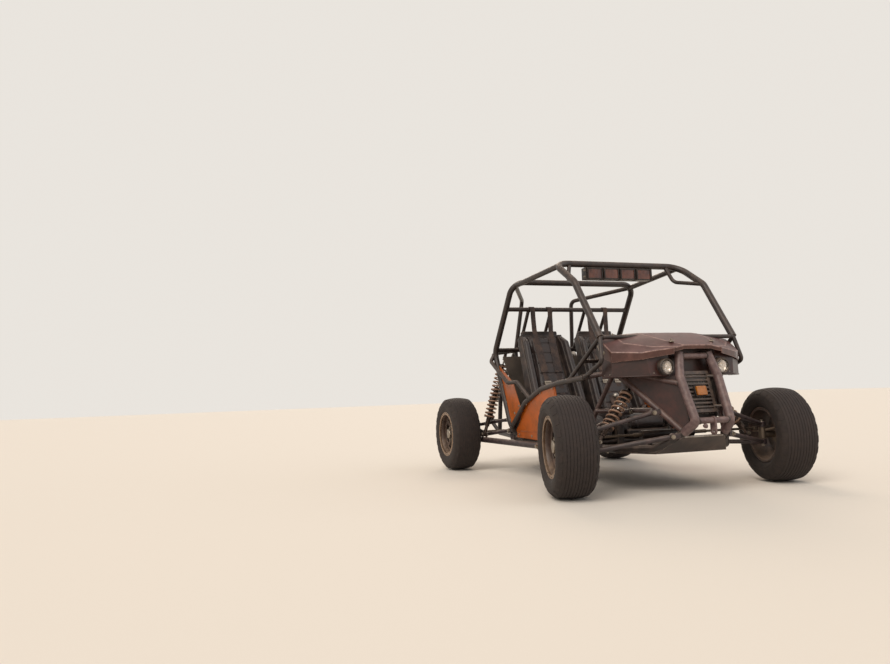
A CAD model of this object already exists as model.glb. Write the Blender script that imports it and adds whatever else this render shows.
from math import atan2, cos, exp, hypot, pi, radians, sin, sqrt, tau

import bmesh
import bpy
from mathutils import Matrix, Vector, noise


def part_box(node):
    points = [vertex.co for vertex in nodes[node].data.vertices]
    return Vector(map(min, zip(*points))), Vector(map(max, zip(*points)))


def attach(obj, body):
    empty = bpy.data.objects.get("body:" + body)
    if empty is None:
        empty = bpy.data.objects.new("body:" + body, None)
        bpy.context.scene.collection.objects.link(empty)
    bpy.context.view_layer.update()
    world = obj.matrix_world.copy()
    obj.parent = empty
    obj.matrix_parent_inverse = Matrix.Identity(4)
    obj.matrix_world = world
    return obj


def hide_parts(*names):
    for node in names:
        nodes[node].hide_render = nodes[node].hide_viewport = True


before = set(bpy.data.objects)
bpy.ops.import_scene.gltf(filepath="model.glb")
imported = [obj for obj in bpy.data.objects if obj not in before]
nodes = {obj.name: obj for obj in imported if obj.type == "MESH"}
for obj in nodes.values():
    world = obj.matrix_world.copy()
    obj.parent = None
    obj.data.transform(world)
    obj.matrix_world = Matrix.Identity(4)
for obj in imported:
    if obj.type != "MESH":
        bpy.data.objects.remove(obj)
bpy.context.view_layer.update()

scene = bpy.context.scene
scene.view_settings.view_transform = "Standard"
FORWARD, OUTWARD, UPWARD = Vector((1, 0, 0)), Vector((0, 1, 0)), Vector((0, 0, 1))
LEFT_RIGHT = (1, -1)
FRONT_AXLE_X, REAR_AXLE_X = 1.085, -1.085
AXLE_HEIGHT = 0.335

# The studio: a pale matt floor that runs to the horizon under a pale backdrop, three soft
# lamps, and the camera where the photo's stood. None of it belongs to the buggy.
CAMERA_PLACE = Vector((5.155, -3.02, 0.69))
CAMERA_YAW, CAMERA_PITCH, CAMERA_ROLL = radians(18.5), radians(5.3), radians(-2.01)
CAMERA_LENS = 27.95
FLOOR_COLOUR = "#e4ddd3"
BACKDROP_COLOUR = "#f1ece5"
BACKDROP_SEEN, BACKDROP_LIGHT = 0.93, 0.5


def srgb(code):
    """A hex colour as linear red, green, blue and alpha."""
    parts = [int(code[i:i + 2], 16) / 255 for i in (1, 3, 5)]
    return (*[p / 12.92 if p <= 0.04045 else ((p + 0.055) / 1.055) ** 2.4 for p in parts], 1.0)


def add_node(tree, kind, inputs=None, output=None, **settings):
    """Add a shader node with its settings and inputs. Returns the output named, or the first in use."""
    made = tree.nodes.new("ShaderNode" + kind)
    for name, value in settings.items():
        setattr(made, name, value)
    for name, value in (inputs or {}).items():
        if isinstance(value, bpy.types.NodeSocket):
            tree.links.new(value, made.inputs[name])
        else:
            made.inputs[name].default_value = value
    return made.outputs[output] if output else next(found for found in made.outputs if found.enabled)


def new_material(name, **settings):
    """A material with its tree, its shader and the object's coordinates in metres."""
    material = bpy.data.materials.new(name)
    material.use_nodes = True
    tree = material.node_tree
    shader = tree.nodes["Principled BSDF"]
    for socket, value in settings.items():
        shader.inputs[socket.replace("_", " ")].default_value = value
    return material, tree, shader, add_node(tree, "TexCoord", output="Object")


def feed(shader, **outputs):
    """Link outputs to the shader's inputs of these names."""
    for socket, output in outputs.items():
        shader.id_data.links.new(output, shader.inputs[socket.replace("_", " ")])


def clouded(name, clean, stained=None, clouds=None, spread=None, gloss=None, skin=None, **settings):
    """A material that a noise of (scale, detail, roughness) turns from clean to stained and from gloss to dull.

    spread is the part of the noise that stains, and how far. skin is the relief: a texture's kind, inputs and
    settings, and the bump's strength and distance in metres.
    """
    material, tree, shader, place = new_material(name, **settings)
    if clouds:
        scale, detail, roughness = clouds
        cloud = add_node(tree, "TexNoise", {"Vector": place, "Scale": scale, "Detail": detail,
                                            "Roughness": roughness})
    if stained:
        share = cloud
        if spread:
            low, high, most = spread
            share = add_node(tree, "MapRange", {"Value": cloud, "From Min": low, "From Max": high, "To Max": most})
        feed(shader, Base_Color=add_node(tree, "Mix", {0: share, 6: srgb(clean), 7: srgb(stained)},
                                         data_type="RGBA"))
    else:
        shader.inputs["Base Color"].default_value = srgb(clean)
    if gloss:
        feed(shader, Roughness=add_node(tree, "MapRange", {"Value": cloud, "To Min": gloss[0], "To Max": gloss[1]}))
    if skin:
        kind, inputs, options, strength, distance = skin
        height = add_node(tree, kind, {"Vector": place, **inputs}, **options)
        feed(shader, Normal=add_node(tree, "Bump", {"Height": height, "Strength": strength, "Distance": distance}))
    return material


def new_object(name, data):
    """Link a new object to the scene, at the origin."""
    made = bpy.data.objects.new(name, data)
    scene.collection.objects.link(made)
    return made


floor_mesh = bmesh.new()
bmesh.ops.create_grid(floor_mesh, x_segments=1, y_segments=1, size=60)
floor_data = bpy.data.meshes.new("floor")
floor_mesh.to_mesh(floor_data)
floor_mesh.free()
floor_data.materials.append(clouded("matt_paper_floor", FLOOR_COLOUR, Roughness=0.9))
new_object("floor", floor_data)

scene.world = bpy.data.worlds.new("studio")
scene.world.use_nodes = True
sky = scene.world.node_tree
backdrop = sky.nodes["Background"]
seen = add_node(sky, "LightPath", output="Is Camera Ray")
for ray in ("Is Glossy Ray", "Is Transmission Ray"):
    seen = add_node(sky, "Math", {0: seen, 1: add_node(sky, "LightPath", output=ray)}, operation="MAXIMUM")
strength = add_node(sky, "MapRange", {"Value": seen, "To Min": BACKDROP_LIGHT, "To Max": BACKDROP_SEEN})
backdrop.inputs["Color"].default_value = srgb(BACKDROP_COLOUR)
feed(backdrop, Strength=strength)

for name, spot, spread, watts, tint in (
        ("key", (3.4, -3.9, 5.2), 42, 1.9, "#fff6ec"),
        ("fill", (3.0, 4.6, 2.6), 60, 0.5, "#f3f5ff"),
        ("rim", (-4.6, 1.6, 3.4), 30, 0.9, "#ffe9d2")):
    lamp = bpy.data.lights.new(name, "SUN")
    lamp.energy = watts
    lamp.angle = radians(spread)
    lamp.color = srgb(tint)[:3]
    holder = new_object(name, lamp)
    holder.rotation_euler = (-Vector(spot)).to_track_quat("-Z", "Y").to_euler()

ahead = Vector((-cos(CAMERA_YAW), sin(CAMERA_YAW), 0))
across = Vector((sin(CAMERA_YAW), cos(CAMERA_YAW), 0))
view_axis = ahead * cos(CAMERA_PITCH) + UPWARD * sin(CAMERA_PITCH)
view_up = UPWARD * cos(CAMERA_PITCH) - ahead * sin(CAMERA_PITCH)
view_right = across * cos(CAMERA_ROLL) + view_up * sin(CAMERA_ROLL)
view_top = view_up * cos(CAMERA_ROLL) - across * sin(CAMERA_ROLL)
camera_data = bpy.data.cameras.new("camera")
camera_data.lens = CAMERA_LENS
camera = new_object("camera", camera_data)
turn = Matrix((view_right, view_top, -view_axis)).transposed().to_4x4()
camera.matrix_world = Matrix.Translation(CAMERA_PLACE) @ turn
scene.camera = camera

# Frame and cage: bent mild steel tube, welded and powder coated nearly black-brown.
# Sand has rubbed it paler on its corners and left tan dust on whatever faces up.
def coated(name, coat, rubbed, bare, dust, roughness=0.42, patch=0.05, dusty=0.5, grain=0.0016,
           edge=0.004, edge_wear=0.75, bump=0.22, **settings):
    """A painted surface: patchy coat, bare worn edges, dust on top, fine grain. Lengths in metres."""
    material, tree, shader, place = new_material(name, **settings)
    patches = add_node(tree, "TexNoise", {"Vector": place, "Scale": 1 / patch, "Detail": 6, "Roughness": 0.66})
    thin = add_node(tree, "MapRange", {"Value": patches, "From Min": 0.44, "From Max": 0.7})
    paint = add_node(tree, "Mix", {0: thin, 6: srgb(coat), 7: srgb(rubbed)}, data_type="RGBA")
    normal = add_node(tree, "NewGeometry", output="Normal")
    rounded = add_node(tree, "Bevel", {"Radius": edge}, samples=4)
    agree = add_node(tree, "VectorMath", {0: rounded, 1: normal}, operation="DOT_PRODUCT")
    near_edge = add_node(tree, "MapRange", {"Value": agree, "From Min": 0.985, "From Max": 0.84})
    chips = add_node(tree, "TexNoise", {"Vector": place, "Scale": 5.2 / patch, "Detail": 4, "Roughness": 0.7})
    chipped = add_node(tree, "MapRange", {"Value": chips, "From Min": 0.36, "From Max": 0.56, "To Max": edge_wear})
    worn = add_node(tree, "Math", {0: near_edge, 1: chipped}, operation="MULTIPLY")
    edged = add_node(tree, "Mix", {0: worn, 6: paint, 7: srgb(bare)}, data_type="RGBA")
    level = add_node(tree, "SeparateXYZ", {"Vector": normal}, output="Z")
    lying = add_node(tree, "MapRange", {"Value": level, "From Min": -0.35})
    drift = add_node(tree, "Math", {0: lying, 1: patches}, operation="MULTIPLY")
    cover = add_node(tree, "MapRange", {"Value": drift, "From Min": 0.14, "From Max": 0.62, "To Max": dusty})
    dusted = add_node(tree, "Mix", {0: cover, 6: edged, 7: srgb(dust)}, data_type="RGBA")
    dull = add_node(tree, "MapRange", {"Value": cover, "To Min": roughness, "To Max": 0.9})
    peel = add_node(tree, "TexNoise", {"Vector": place, "Scale": 1 / grain, "Detail": 2})
    relief = add_node(tree, "Bump", {"Height": peel, "Strength": bump, "Distance": grain / 3})
    feed(shader, Base_Color=dusted, Roughness=dull, Normal=relief)
    return material


def dress(names, material):
    """Give CAD nodes a material, and return it."""
    for name in names.split():
        for slot in nodes[name].material_slots:
            slot.material = material
    return material


SAND = "#b49a82"
dress("front_hoop main_hoop roof_rails seat_back_bars rear_stays side_bars dash_bars steering_column",
      coated("powder_coated_cage_tube", "#231b19", "#382b26", "#7d6555", "#8d7461", dusty=0.22))
frame_coat = dress("lower_frame rear_frame rear_bumper", coated(
    "powder_coated_frame_tube", "#231c1a", "#3b302c", "#7b6858", "#9a8270", dusty=0.3))
dress("front_frame", coated("rubbed_front_frame_tube", "#453331", "#654f4b", "#a3897c", "#9c8373", dusty=0.3))
bumper_coat = dress("front_bumper", coated(
    "faded_bumper_coat", "#584544", "#77625f", "#a98f86", "#a38b7c", dusty=0.25, patch=0.04))
arm_coat = dress("front_upper_arms front_lower_arms rear_arms", coated(
    "powder_coated_arms", "#292123", "#48393a", "#8f786c", "#9c8373", dusty=0.28))

joints = {  # where the tubes' centre lines meet on the left, in mm from the front axle and the floor
    name: Vector((FRONT_AXLE_X + x / 1000, y / 1000, z / 1000)) for name, (x, y, z) in {
        "pillar_foot": (-15, 550, 1050), "pillar_knee": (-305, 560, 1480), "roof_rear": (-1290, 600, 1640),
        "hoop_waist": (-1700, 620, 1060), "hoop_foot": (-1470, 590, 400), "side_knee": (-1690, 668, 985),
        "arch_rear": (-1150, 600, 615), "arch_top": (-850, 600, 717), "arch_front": (-580, 600, 755),
        "cowl_low": (-200, 580, 785), "side_front": (-1200, 640, 785), "cowl_knee": (30, 575, 880),
        "upper_node": (-100, 400, 820), "nose_low": (295, 160, 402), "rail_bend": (150, 280, 300),
        "rail_front": (-100, 430, 290), "rail_rear": (-1500, 450, 290), "bulkhead_mid": (-295, 450, 545),
        "arm_rail_rear": (-170, 250, 545), "footwell_low": (-400, 400, 510), "footwell_foot": (-405, 442, 295),
        "bulkhead_foot": (-290, 442, 290), "bumper_top": (230, 114, 920), "bumper_mid": (275, 150, 760),
        "bumper_nose": (386, 135, 470), "deck": (-1950, 300, 1100), "tail_high": (-2380, 290, 760),
        "tail_low": (-2480, 280, 300), "cradle": (-1900, 300, 272), "stay_knee": (-1850, 260, 1560),
        "bumper_high": (-2563, 330, 640), "bumper_low": (-2563, 330, 420), "trailing_pivot": (-950, 560, 268),
    }.items()}
WELD_POINTS = 40
WELD_WIDTH = 0.0042


def mirrored(point, side):
    """A point of the left side, or its image on the right."""
    return Vector((point.x, side * point.y, point.z))


def weld(curve, place, towards, tube, carrier_along, carrier):
    """Run a rippled bead round a tube where it meets the tube that carries it. Diameters in mm."""
    along = (towards - place).normalized()
    carrier_along = carrier_along.normalized()
    start = along.orthogonal().normalized()
    other = along.cross(start)
    bead = curve.splines.new("POLY")
    bead.points.add(WELD_POINTS - 1)
    bead.use_cyclic_u = True
    slope = along - carrier_along * along.dot(carrier_along)
    for row, point in enumerate(bead.points):
        spoke = (start * cos(tau * row / WELD_POINTS) + other * sin(tau * row / WELD_POINTS)) * tube / 2000
        aside = spoke - carrier_along * spoke.dot(carrier_along)
        inside = slope.dot(aside) ** 2 - slope.length_squared * (aside.length_squared - (carrier / 2000) ** 2)
        reach = (sqrt(max(inside, 0)) - slope.dot(aside)) / slope.length_squared
        point.co = (*(place + spoke + along * reach), 1)
        point.radius = 1.15 if row % 2 else 0.8


joints["dash_bar_foot"] = joints["arch_front"].lerp(joints["cowl_low"], 0.45)
joints["side_bar_foot"] = joints["arch_rear"].lerp(joints["arch_top"], 0.3)
for name, start, end, height in (
        ("harness_end", "hoop_waist", "roof_rear", 1.425), ("waist_end", "hoop_waist", "roof_rear", 1.085),
        ("dash_bar_end", "pillar_foot", "dash_bar_foot", 0.9), ("diagonal_mid", "upper_node", "nose_low", 0.545),
        ("bumper_rail_end", "bumper_mid", "bumper_nose", 0.715),
        ("bumper_top_cross", "bumper_top", "bumper_mid", 0.9),
        ("bumper_low_cross", "bumper_mid", "bumper_nose", 0.478)):
    start, end = joints[start], joints[end]
    joints[name] = start.lerp(end, (height - start.z) / (end.z - start.z))
# Each weld: its joint, where the tube leads, the tube's diameter, the line of the carrier and its diameter.
WELDS = """
harness_end across 38 hoop_waist roof_rear 50
waist_end across 38 hoop_waist roof_rear 50
hoop_foot arch_rear 38 hoop_foot hoop_waist 50
hoop_waist side_knee 34 hoop_waist roof_rear 50
side_bar_foot side_front 34 arch_rear arch_top 38
cowl_low cowl_knee 30 arch_front cowl_low 38
pillar_foot dash_bar_foot 30 pillar_foot pillar_knee 50
dash_bar_foot pillar_foot 30 arch_front cowl_low 38
pillar_foot across 30 pillar_foot pillar_knee 50
dash_bar_end across 28 dash_bar_foot pillar_foot 30
deck stay_knee 38 hoop_waist deck 42
deck cradle 34 tail_high deck 42
cradle deck 34 cradle tail_low 42
deck across 34 deck tail_high 42
tail_high across 34 deck tail_high 42
tail_low across 34 cradle tail_low 42
tail_low bumper_low 38 tail_low tail_high 42
tail_high bumper_high 38 tail_low tail_high 42
hoop_waist deck 42 hoop_waist roof_rear 50
cowl_low upper_node 34 arch_front cowl_low 38
bumper_rail_end upper_node 34 bumper_mid bumper_nose 58
bumper_top_cross across 40 bumper_mid bumper_top 58
bumper_low_cross across 40 bumper_mid bumper_nose 58
nose_low upper_node 40 nose_low bumper_nose 58
nose_low rail_bend 44 nose_low bumper_nose 58
diagonal_mid arm_rail_rear 34 upper_node nose_low 40
footwell_foot footwell_low 34 rail_rear rail_front 44
bulkhead_foot bulkhead_mid 34 rail_rear rail_front 44
upper_node across 30 upper_node nose_low 40
arm_rail_rear across 30 arm_rail_rear bulkhead_mid 34
"""
welds = []
for row in WELDS.strip().splitlines():
    spot, towards, tube, start, end, carrier = row.split()
    towards = joints[spot] - OUTWARD if towards == "across" else joints[towards]
    welds.append((joints[spot], towards, int(tube), joints[end] - joints[start], int(carrier)))
for upright_y in (0.17, 0.39):
    low, high = (Vector((joints[name].x, upright_y, joints[name].z)) for name in ("waist_end", "harness_end"))
    welds += [(low, high, 30, OUTWARD, 38), (high, low, 30, OUTWARD, 38)]
for cross_x in (-100, -730, -1150, -1460):
    rail_end = joints["rail_front"].lerp(joints["rail_rear"], (cross_x + 100) / -1400)
    welds.append((rail_end, rail_end - OUTWARD, 38, joints["rail_front"] - joints["rail_rear"], 44))
beads = bpy.data.curves.new("weld_beads", "CURVE")
beads.dimensions = "3D"
beads.bevel_depth = WELD_WIDTH
beads.bevel_resolution = 1
for spot, towards, tube, along, carrier in welds:
    for side in LEFT_RIGHT:
        weld(beads, mirrored(spot, side), mirrored(towards, side), tube, mirrored(along, side), carrier)
weld_beads = new_object("weld_beads", beads)
beads.materials.append(frame_coat)
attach(weld_beads, "chassis")

# Fasteners and fabricated brackets: zinc-plated hex bolts on washers, and folded tabs of
# plate welded to the tubes.
zinc = clouded("zinc_plated_steel", "#a89f92", "#7d7062", (90, 5, 0.7), gloss=(0.28, 0.55), Metallic=1.0)


def finish_piece(name, mesh, material, body="chassis", matrix=None, smooth=35, slot=None, stands_for=None):
    """Make a bmesh an object that rides on a body, sharp where it turns by more than smooth degrees."""
    bmesh.ops.remove_doubles(mesh, verts=mesh.verts, dist=1e-6)
    bmesh.ops.recalc_face_normals(mesh, faces=mesh.faces)
    if matrix:
        bmesh.ops.transform(mesh, matrix=matrix, verts=mesh.verts)
    for face in mesh.faces:
        face.smooth = True
    for edge in mesh.edges:
        edge.smooth = len(edge.link_faces) == 2 and edge.calc_face_angle(0) < radians(smooth)
    data = bpy.data.meshes.new(name)
    mesh.to_mesh(data)
    mesh.free()
    data.materials.append(material)
    piece = new_object(name, data)
    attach(piece, body)
    if stands_for:
        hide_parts(stands_for)
    return piece


def facing(place, along):
    """The matrix that puts a shape made on the Z axis at a place, along a direction."""
    return Matrix.Translation(place) @ UPWARD.rotation_difference(along).to_matrix().to_4x4()


def settle(mesh):
    """Mark all that a mesh has so far as being in its place."""
    for vert in mesh.verts:
        vert.tag = True


def ease(mesh, edges, offset, segments=1):
    """Chamfer or round some edges. Offset in metres."""
    bmesh.ops.bevel(mesh, geom=list(edges), offset=offset, segments=segments, profile=0.5, affect="EDGES",
                    material=-1)


def bolt(mesh, place, along, size):
    """Add a hex bolt's head on its washer, from the face it sits on. Size across the corners in metres."""
    where = facing(place, along)
    for radius, low, high, sides in ((size * 0.68, 0, size * 0.12, 20), (size / 2, size * 0.12, size * 0.62, 6)):
        bmesh.ops.create_cone(mesh, cap_ends=True, segments=sides, radius1=radius, radius2=radius * 0.94,
                              depth=high - low, matrix=where @ Matrix.Translation((0, 0, (low + high) / 2)))
    settle(mesh)


def rod(mesh, start, end, diameter, segments=20, end_diameter=None):
    """Add a round bar or sleeve between two points, its edges chamfered. Diameters in mm."""
    made = bmesh.ops.create_cone(mesh, cap_ends=True, segments=segments, radius1=diameter / 2000,
                                 radius2=(end_diameter or diameter) / 2000, depth=(end - start).length,
                                 matrix=facing((start + end) / 2, (end - start).normalized()))
    rims = {edge for vert in made["verts"] for edge in vert.link_edges
            if any(len(face.verts) > 4 for face in edge.link_faces)}
    ease(mesh, rims, min(0.0015, diameter / 20000))
    settle(mesh)


def tab(mesh, start, end, width, thickness, across):
    """Add a flat plate from start to end, thick along a direction, its edges eased. Sizes in mm."""
    along = end - start
    across = (across - along * (across.dot(along) / along.length_squared)).normalized()
    wide = across.cross(along).normalized()
    where = Matrix((wide * (width / 1000), across * (thickness / 1000), along)).transposed().to_4x4()
    made = bmesh.ops.create_cube(mesh, size=1, matrix=Matrix.Translation((start + end) / 2) @ where)
    ease(mesh, {edge for vert in made["verts"] for edge in vert.link_edges}, min(thickness, width) / 6000, 2)
    settle(mesh)


# Suspension: tubular arms on rubber-bushed pivots between welded tabs, bolted through,
# with ball joints in the bosses at the outer ends.
moulded_rubber = clouded("moulded_black_rubber", "#1f1b1a", "#5f5046", (60, 6, 0.7), (0.45, 0.75, 0.5),
                         Roughness=0.7)
BALL_JOINT_Y = 0.735
ball_joint, upper_ball = (Vector((FRONT_AXLE_X, BALL_JOINT_Y, height)) for height in (0.285, 0.41))
lower_front = joints["nose_low"] + (joints["rail_bend"] - joints["nose_low"]).normalized() * 0.036
lower_rear = joints["rail_front"] + (joints["rail_rear"] - joints["rail_front"]).normalized() * 0.098
link_post = Vector((REAR_AXLE_X + 0.45, 0.46, 0.4))
pivots = [
    # pivot, outer end, diameter of the tube that carries it
    (lower_front, ball_joint, 44), (lower_rear, ball_joint, 44),
    (joints["diagonal_mid"], upper_ball, 40), (joints["arm_rail_rear"], upper_ball, 34),
    (link_post - UPWARD * 0.035, Vector((REAR_AXLE_X + 0.034, 0.705, 0.3)), 24),
    (link_post + UPWARD * 0.065, Vector((REAR_AXLE_X + 0.034, 0.705, 0.4)), 24),
]
bushes, sleeves, pivot_bolts = bmesh.new(), bmesh.new(), bmesh.new()
for side in LEFT_RIGHT:
    for pivot, outer, carrier in pivots:
        inner = mirrored(pivot, side)
        arm = (mirrored(outer, side) - inner).normalized()
        axle = UPWARD.cross(arm).normalized()
        eye = inner + arm * (carrier / 2000 + 0.022)
        rod(sleeves, eye - axle * 0.024, eye + axle * 0.024, 42)
        rod(bushes, eye - axle * 0.029, eye + axle * 0.029, 35)
        for end in (-axle, axle):
            tab(sleeves, inner + end * 0.0315, eye + end * 0.0315 + arm * 0.012, 34, 5, axle)
            bolt(pivot_bolts, eye + end * 0.034, end, 0.022)
    for height, way in ((0.428, UPWARD), (0.267, -UPWARD)):
        bolt(pivot_bolts, Vector((FRONT_AXLE_X, side * BALL_JOINT_Y, height)), way, 0.024)
    pivot, out = mirrored(joints["trailing_pivot"], side), OUTWARD * side
    rod(sleeves, pivot - out * 0.034, pivot + out * 0.034, 62)
    rod(bushes, pivot - out * 0.04, pivot + out * 0.04, 52)
    bolt(pivot_bolts, pivot + out * 0.0405, out, 0.034)
finish_piece("pivot_sleeves", sleeves, arm_coat, slot="arm_paint")
finish_piece("pivot_bushes", bushes, moulded_rubber, slot="arm_paint")
finish_piece("pivot_bolts", pivot_bolts, zinc, smooth=25, slot="axle_steel")

# Coil-overs: a helical spring of pale coated wire between two turned collars, round a
# threaded damper body and its chromed rod, hung between tabs on bearing eyes.
spring_coat = coated("powder_coated_spring_wire", "#94735f", "#7b5c4b", "#c0a292", SAND, dusty=0.4, edge=0.001,
                     roughness=0.38)
damper_body = clouded("anodised_damper_body", "#3b3331", "#66574e", (40, 5, 0.7), Metallic=0.85, Roughness=0.36)
chromed = clouded("chromed_damper_rod", "#cfcac4", clouds=(70, 3, 0.5), gloss=(0.06, 0.24), Metallic=1.0)
deck_line = joints["hoop_waist"].lerp(joints["deck"], 0.52)
rear_foot = joints["trailing_pivot"].lerp(Vector((REAR_AXLE_X, 0.705, 0.283)), 0.78)
front_eye = Vector((FRONT_AXLE_X - 0.012, 0.61, 0.352))
shocks = (
    # name, low eye, high eye, coil in mm, its start and end as shares of the length, low mount, high mount
    ("front", front_eye, Vector((FRONT_AXLE_X - 0.055, 0.3, 0.716)), 92, 0.24, 0.86, front_eye - UPWARD * 0.046,
     joints["upper_node"]),
    ("rear", rear_foot + UPWARD * 0.048, deck_line, 100, 0.2, 0.84, rear_foot + UPWARD * 0.012,
     deck_line + UPWARD * 0.001),
)
WIRE = 13
COIL_PITCH = 36
COIL_STEPS = 22


def wire_ring(mesh, where, radius, height, size, caps):
    """Add a section of spring wire at a radius and height in mm, and return all its parts."""
    made = bmesh.ops.create_circle(mesh, segments=10, radius=size / 2000, cap_ends=caps,
                                   matrix=where @ Matrix.Translation((radius / 1000, 0, height / 1000))
                                   @ Matrix.Rotation(pi / 2, 4, "X"))["verts"]
    parts = made + list({edge for vert in made for edge in vert.link_edges})
    return parts + list({face for vert in made for face in vert.link_faces})


def spin_profile(mesh, profile, steps, closed=True, where=Matrix()):
    """Spin a section of (along, radius) in mm right round the Z axis, then put it in its place."""
    points = profile + profile[:1] if closed else profile
    made = [mesh.verts.new((radius / 1000, 0, along / 1000)) for along, radius in points]
    made += [mesh.edges.new(pair) for pair in zip(made, made[1:])]
    bmesh.ops.spin(mesh, geom=made, cent=(0, 0, 0), axis=(0, 0, 1), angle=tau, steps=steps, use_merge=True)
    bmesh.ops.transform(mesh, matrix=where, verts=[vert for vert in mesh.verts if not vert.tag])
    settle(mesh)


for end, low, high, coil, start, stop, foot, head in shocks:
    springs, dampers, rods, stops, eyes, tabs = (bmesh.new() for _ in range(6))
    for side in LEFT_RIGHT:
        bottom, top = mirrored(low, side), mirrored(high, side)
        along = (top - bottom).normalized()
        length = (top - bottom).length * 1000
        where = facing(bottom, along)
        first, last = length * start + 9 + WIRE / 2, length * stop - 9 - WIRE / 2
        turns = round((last - first) / COIL_PITCH)
        radius = (coil - WIRE) / 2
        bmesh.ops.spin(springs, geom=wire_ring(springs, where, radius, first, WIRE, True), cent=bottom, axis=along,
                       angle=turns * tau, steps=turns * COIL_STEPS,
                       dvec=along * (last - first) / 1000 / turns / COIL_STEPS)
        for ring in (first, last):
            bmesh.ops.spin(springs, geom=wire_ring(springs, where, radius, ring, WIRE * 0.96, False), cent=bottom,
                           axis=along, angle=tau, steps=40, use_merge=True)
        thread = [(length * 0.1, 19), (length * 0.1 + 3, 22)]
        at = length * 0.1 + 8
        while at < length * 0.56:
            thread += [(at, 22), (at + 1.6, 20.6), (at + 3.2, 22)]
            at += 4.2
        spin_profile(dampers, thread + [(length * 0.56, 21), (length * 0.57, 11), (length * 0.57, 0.02),
                                        (length * 0.1, 0.02)], 32, where=where)
        collar = coil / 2
        for seat, way in ((length * start, 1), (length * stop, -1)):
            spin_profile(dampers, [(seat, 22), (seat, collar - 2), (seat + way * 2, collar),
                                   (seat + way * 6, collar), (seat + way * 9, collar - 6),
                                   (seat + way * 16, collar - 15), (seat + way * 17, 22)], 40, where=where)
        for mesh, steps, profile in (
                (rods, 24, [(0.5, 0.02), (0.5, 9), (0.95, 9), (0.95, 0.02)]),
                (stops, 28, [(0.72, 9.2), (0.72, 17), (0.75, 20), (0.79, 20), (0.83, 16), (0.85, 9.2)])):
            spin_profile(mesh, [(length * share, reach) for share, reach in profile], steps, where=where)
        axle = along.cross(FORWARD if end == "rear" else UPWARD).normalized()
        for eye, reach, carrier in ((bottom, 1, mirrored(foot, side)), (top, -1, mirrored(head, side))):
            rod(dampers, eye, eye + along * reach * length * 0.000105, 30)
            rod(dampers, eye - axle * 0.013, eye + axle * 0.013, 36)
            rod(eyes, eye - axle * 0.02, eye + axle * 0.02, 17)
            for way in (-axle, axle):
                tab(tabs, carrier + way * 0.0185, eye + way * 0.0185 + (eye - carrier).normalized() * 0.014, 34, 5,
                    axle)
                bolt(eyes, eye + way * 0.0212, way, 0.02)
    finish_piece(f"coil_springs_{end}", springs, spring_coat, smooth=60, slot="shock_metal",
                 stands_for=f"{end}_shocks")
    finish_piece(f"damper_bodies_{end}", dampers, damper_body, smooth=30, slot="shock_metal")
    finish_piece(f"damper_rods_{end}", rods, chromed, slot="shock_metal")
    finish_piece(f"bump_stops_{end}", stops, moulded_rubber, slot="shock_metal")
    finish_piece(f"shock_tabs_{end}", tabs, arm_coat, slot="arm_paint")
    finish_piece(f"damper_eyes_{end}", eyes, zinc, smooth=25, slot="shock_metal")

# Knuckles, hubs and shafts: forged and machined steel, oiled and gritty. Each half shaft
# has a bellows boot clamped over the joint at either end.
forged_steel = dress("knuckle_left knuckle_right steering_rack", clouded(
    "forged_steel", "#4a413b", "#8b7b6b", (55, 7, 0.7), gloss=(0.35, 0.75),
    skin=("TexNoise", {"Scale": 55, "Detail": 7, "Roughness": 0.7}, {}, 0.3, 0.001), Metallic=0.9))
for side_name, side in (("left", 1), ("right", -1)):
    shaft, boots, clamps = bmesh.new(), bmesh.new(), bmesh.new()
    where = facing(Vector((REAR_AXLE_X, 0, AXLE_HEIGHT)), OUTWARD * side)
    spin_profile(shaft, [(70, 0.02), (70, 17), (165, 17), (180, 16), (560, 16), (570, 17), (650, 22), (930, 22),
                         (932, 20), (932, 0.02)], 32, where=where)
    for big, small, way in ((168, 244, 1), (648, 572, -1)):
        folds = [(big, 17.2), (big, 45.6), (big + way * 8, 45.6)]
        for fold in range(5):
            radius = 45 - fold * 5.4
            folds += [(big + way * (13 + fold * 12), radius - 9), (big + way * (19 + fold * 12), radius - 2.5)]
        folds += [(small - way * 3, 20), (small, 20), (small, 16.2)]
        spin_profile(boots, folds, 36, where=where)
        for at, radius in ((big + way * 3, 46), (small - way * 4, 21.4)):
            spin_profile(clamps, [(at, radius - 3), (at, radius), (at + way * 5, radius),
                                  (at + way * 5, radius - 3)], 36, where=where)
    body = f"wheel_rear_{side_name}"
    finish_piece(f"half_shaft_bar_{side_name}", shaft, forged_steel, body, slot="axle_steel",
                 stands_for=f"half_shaft_{side_name}")
    finish_piece(f"shaft_boots_{side_name}", boots, moulded_rubber, body, smooth=50, slot="axle_steel")
    finish_piece(f"boot_clamps_{side_name}", clamps, zinc, body, slot="axle_steel")

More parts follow.
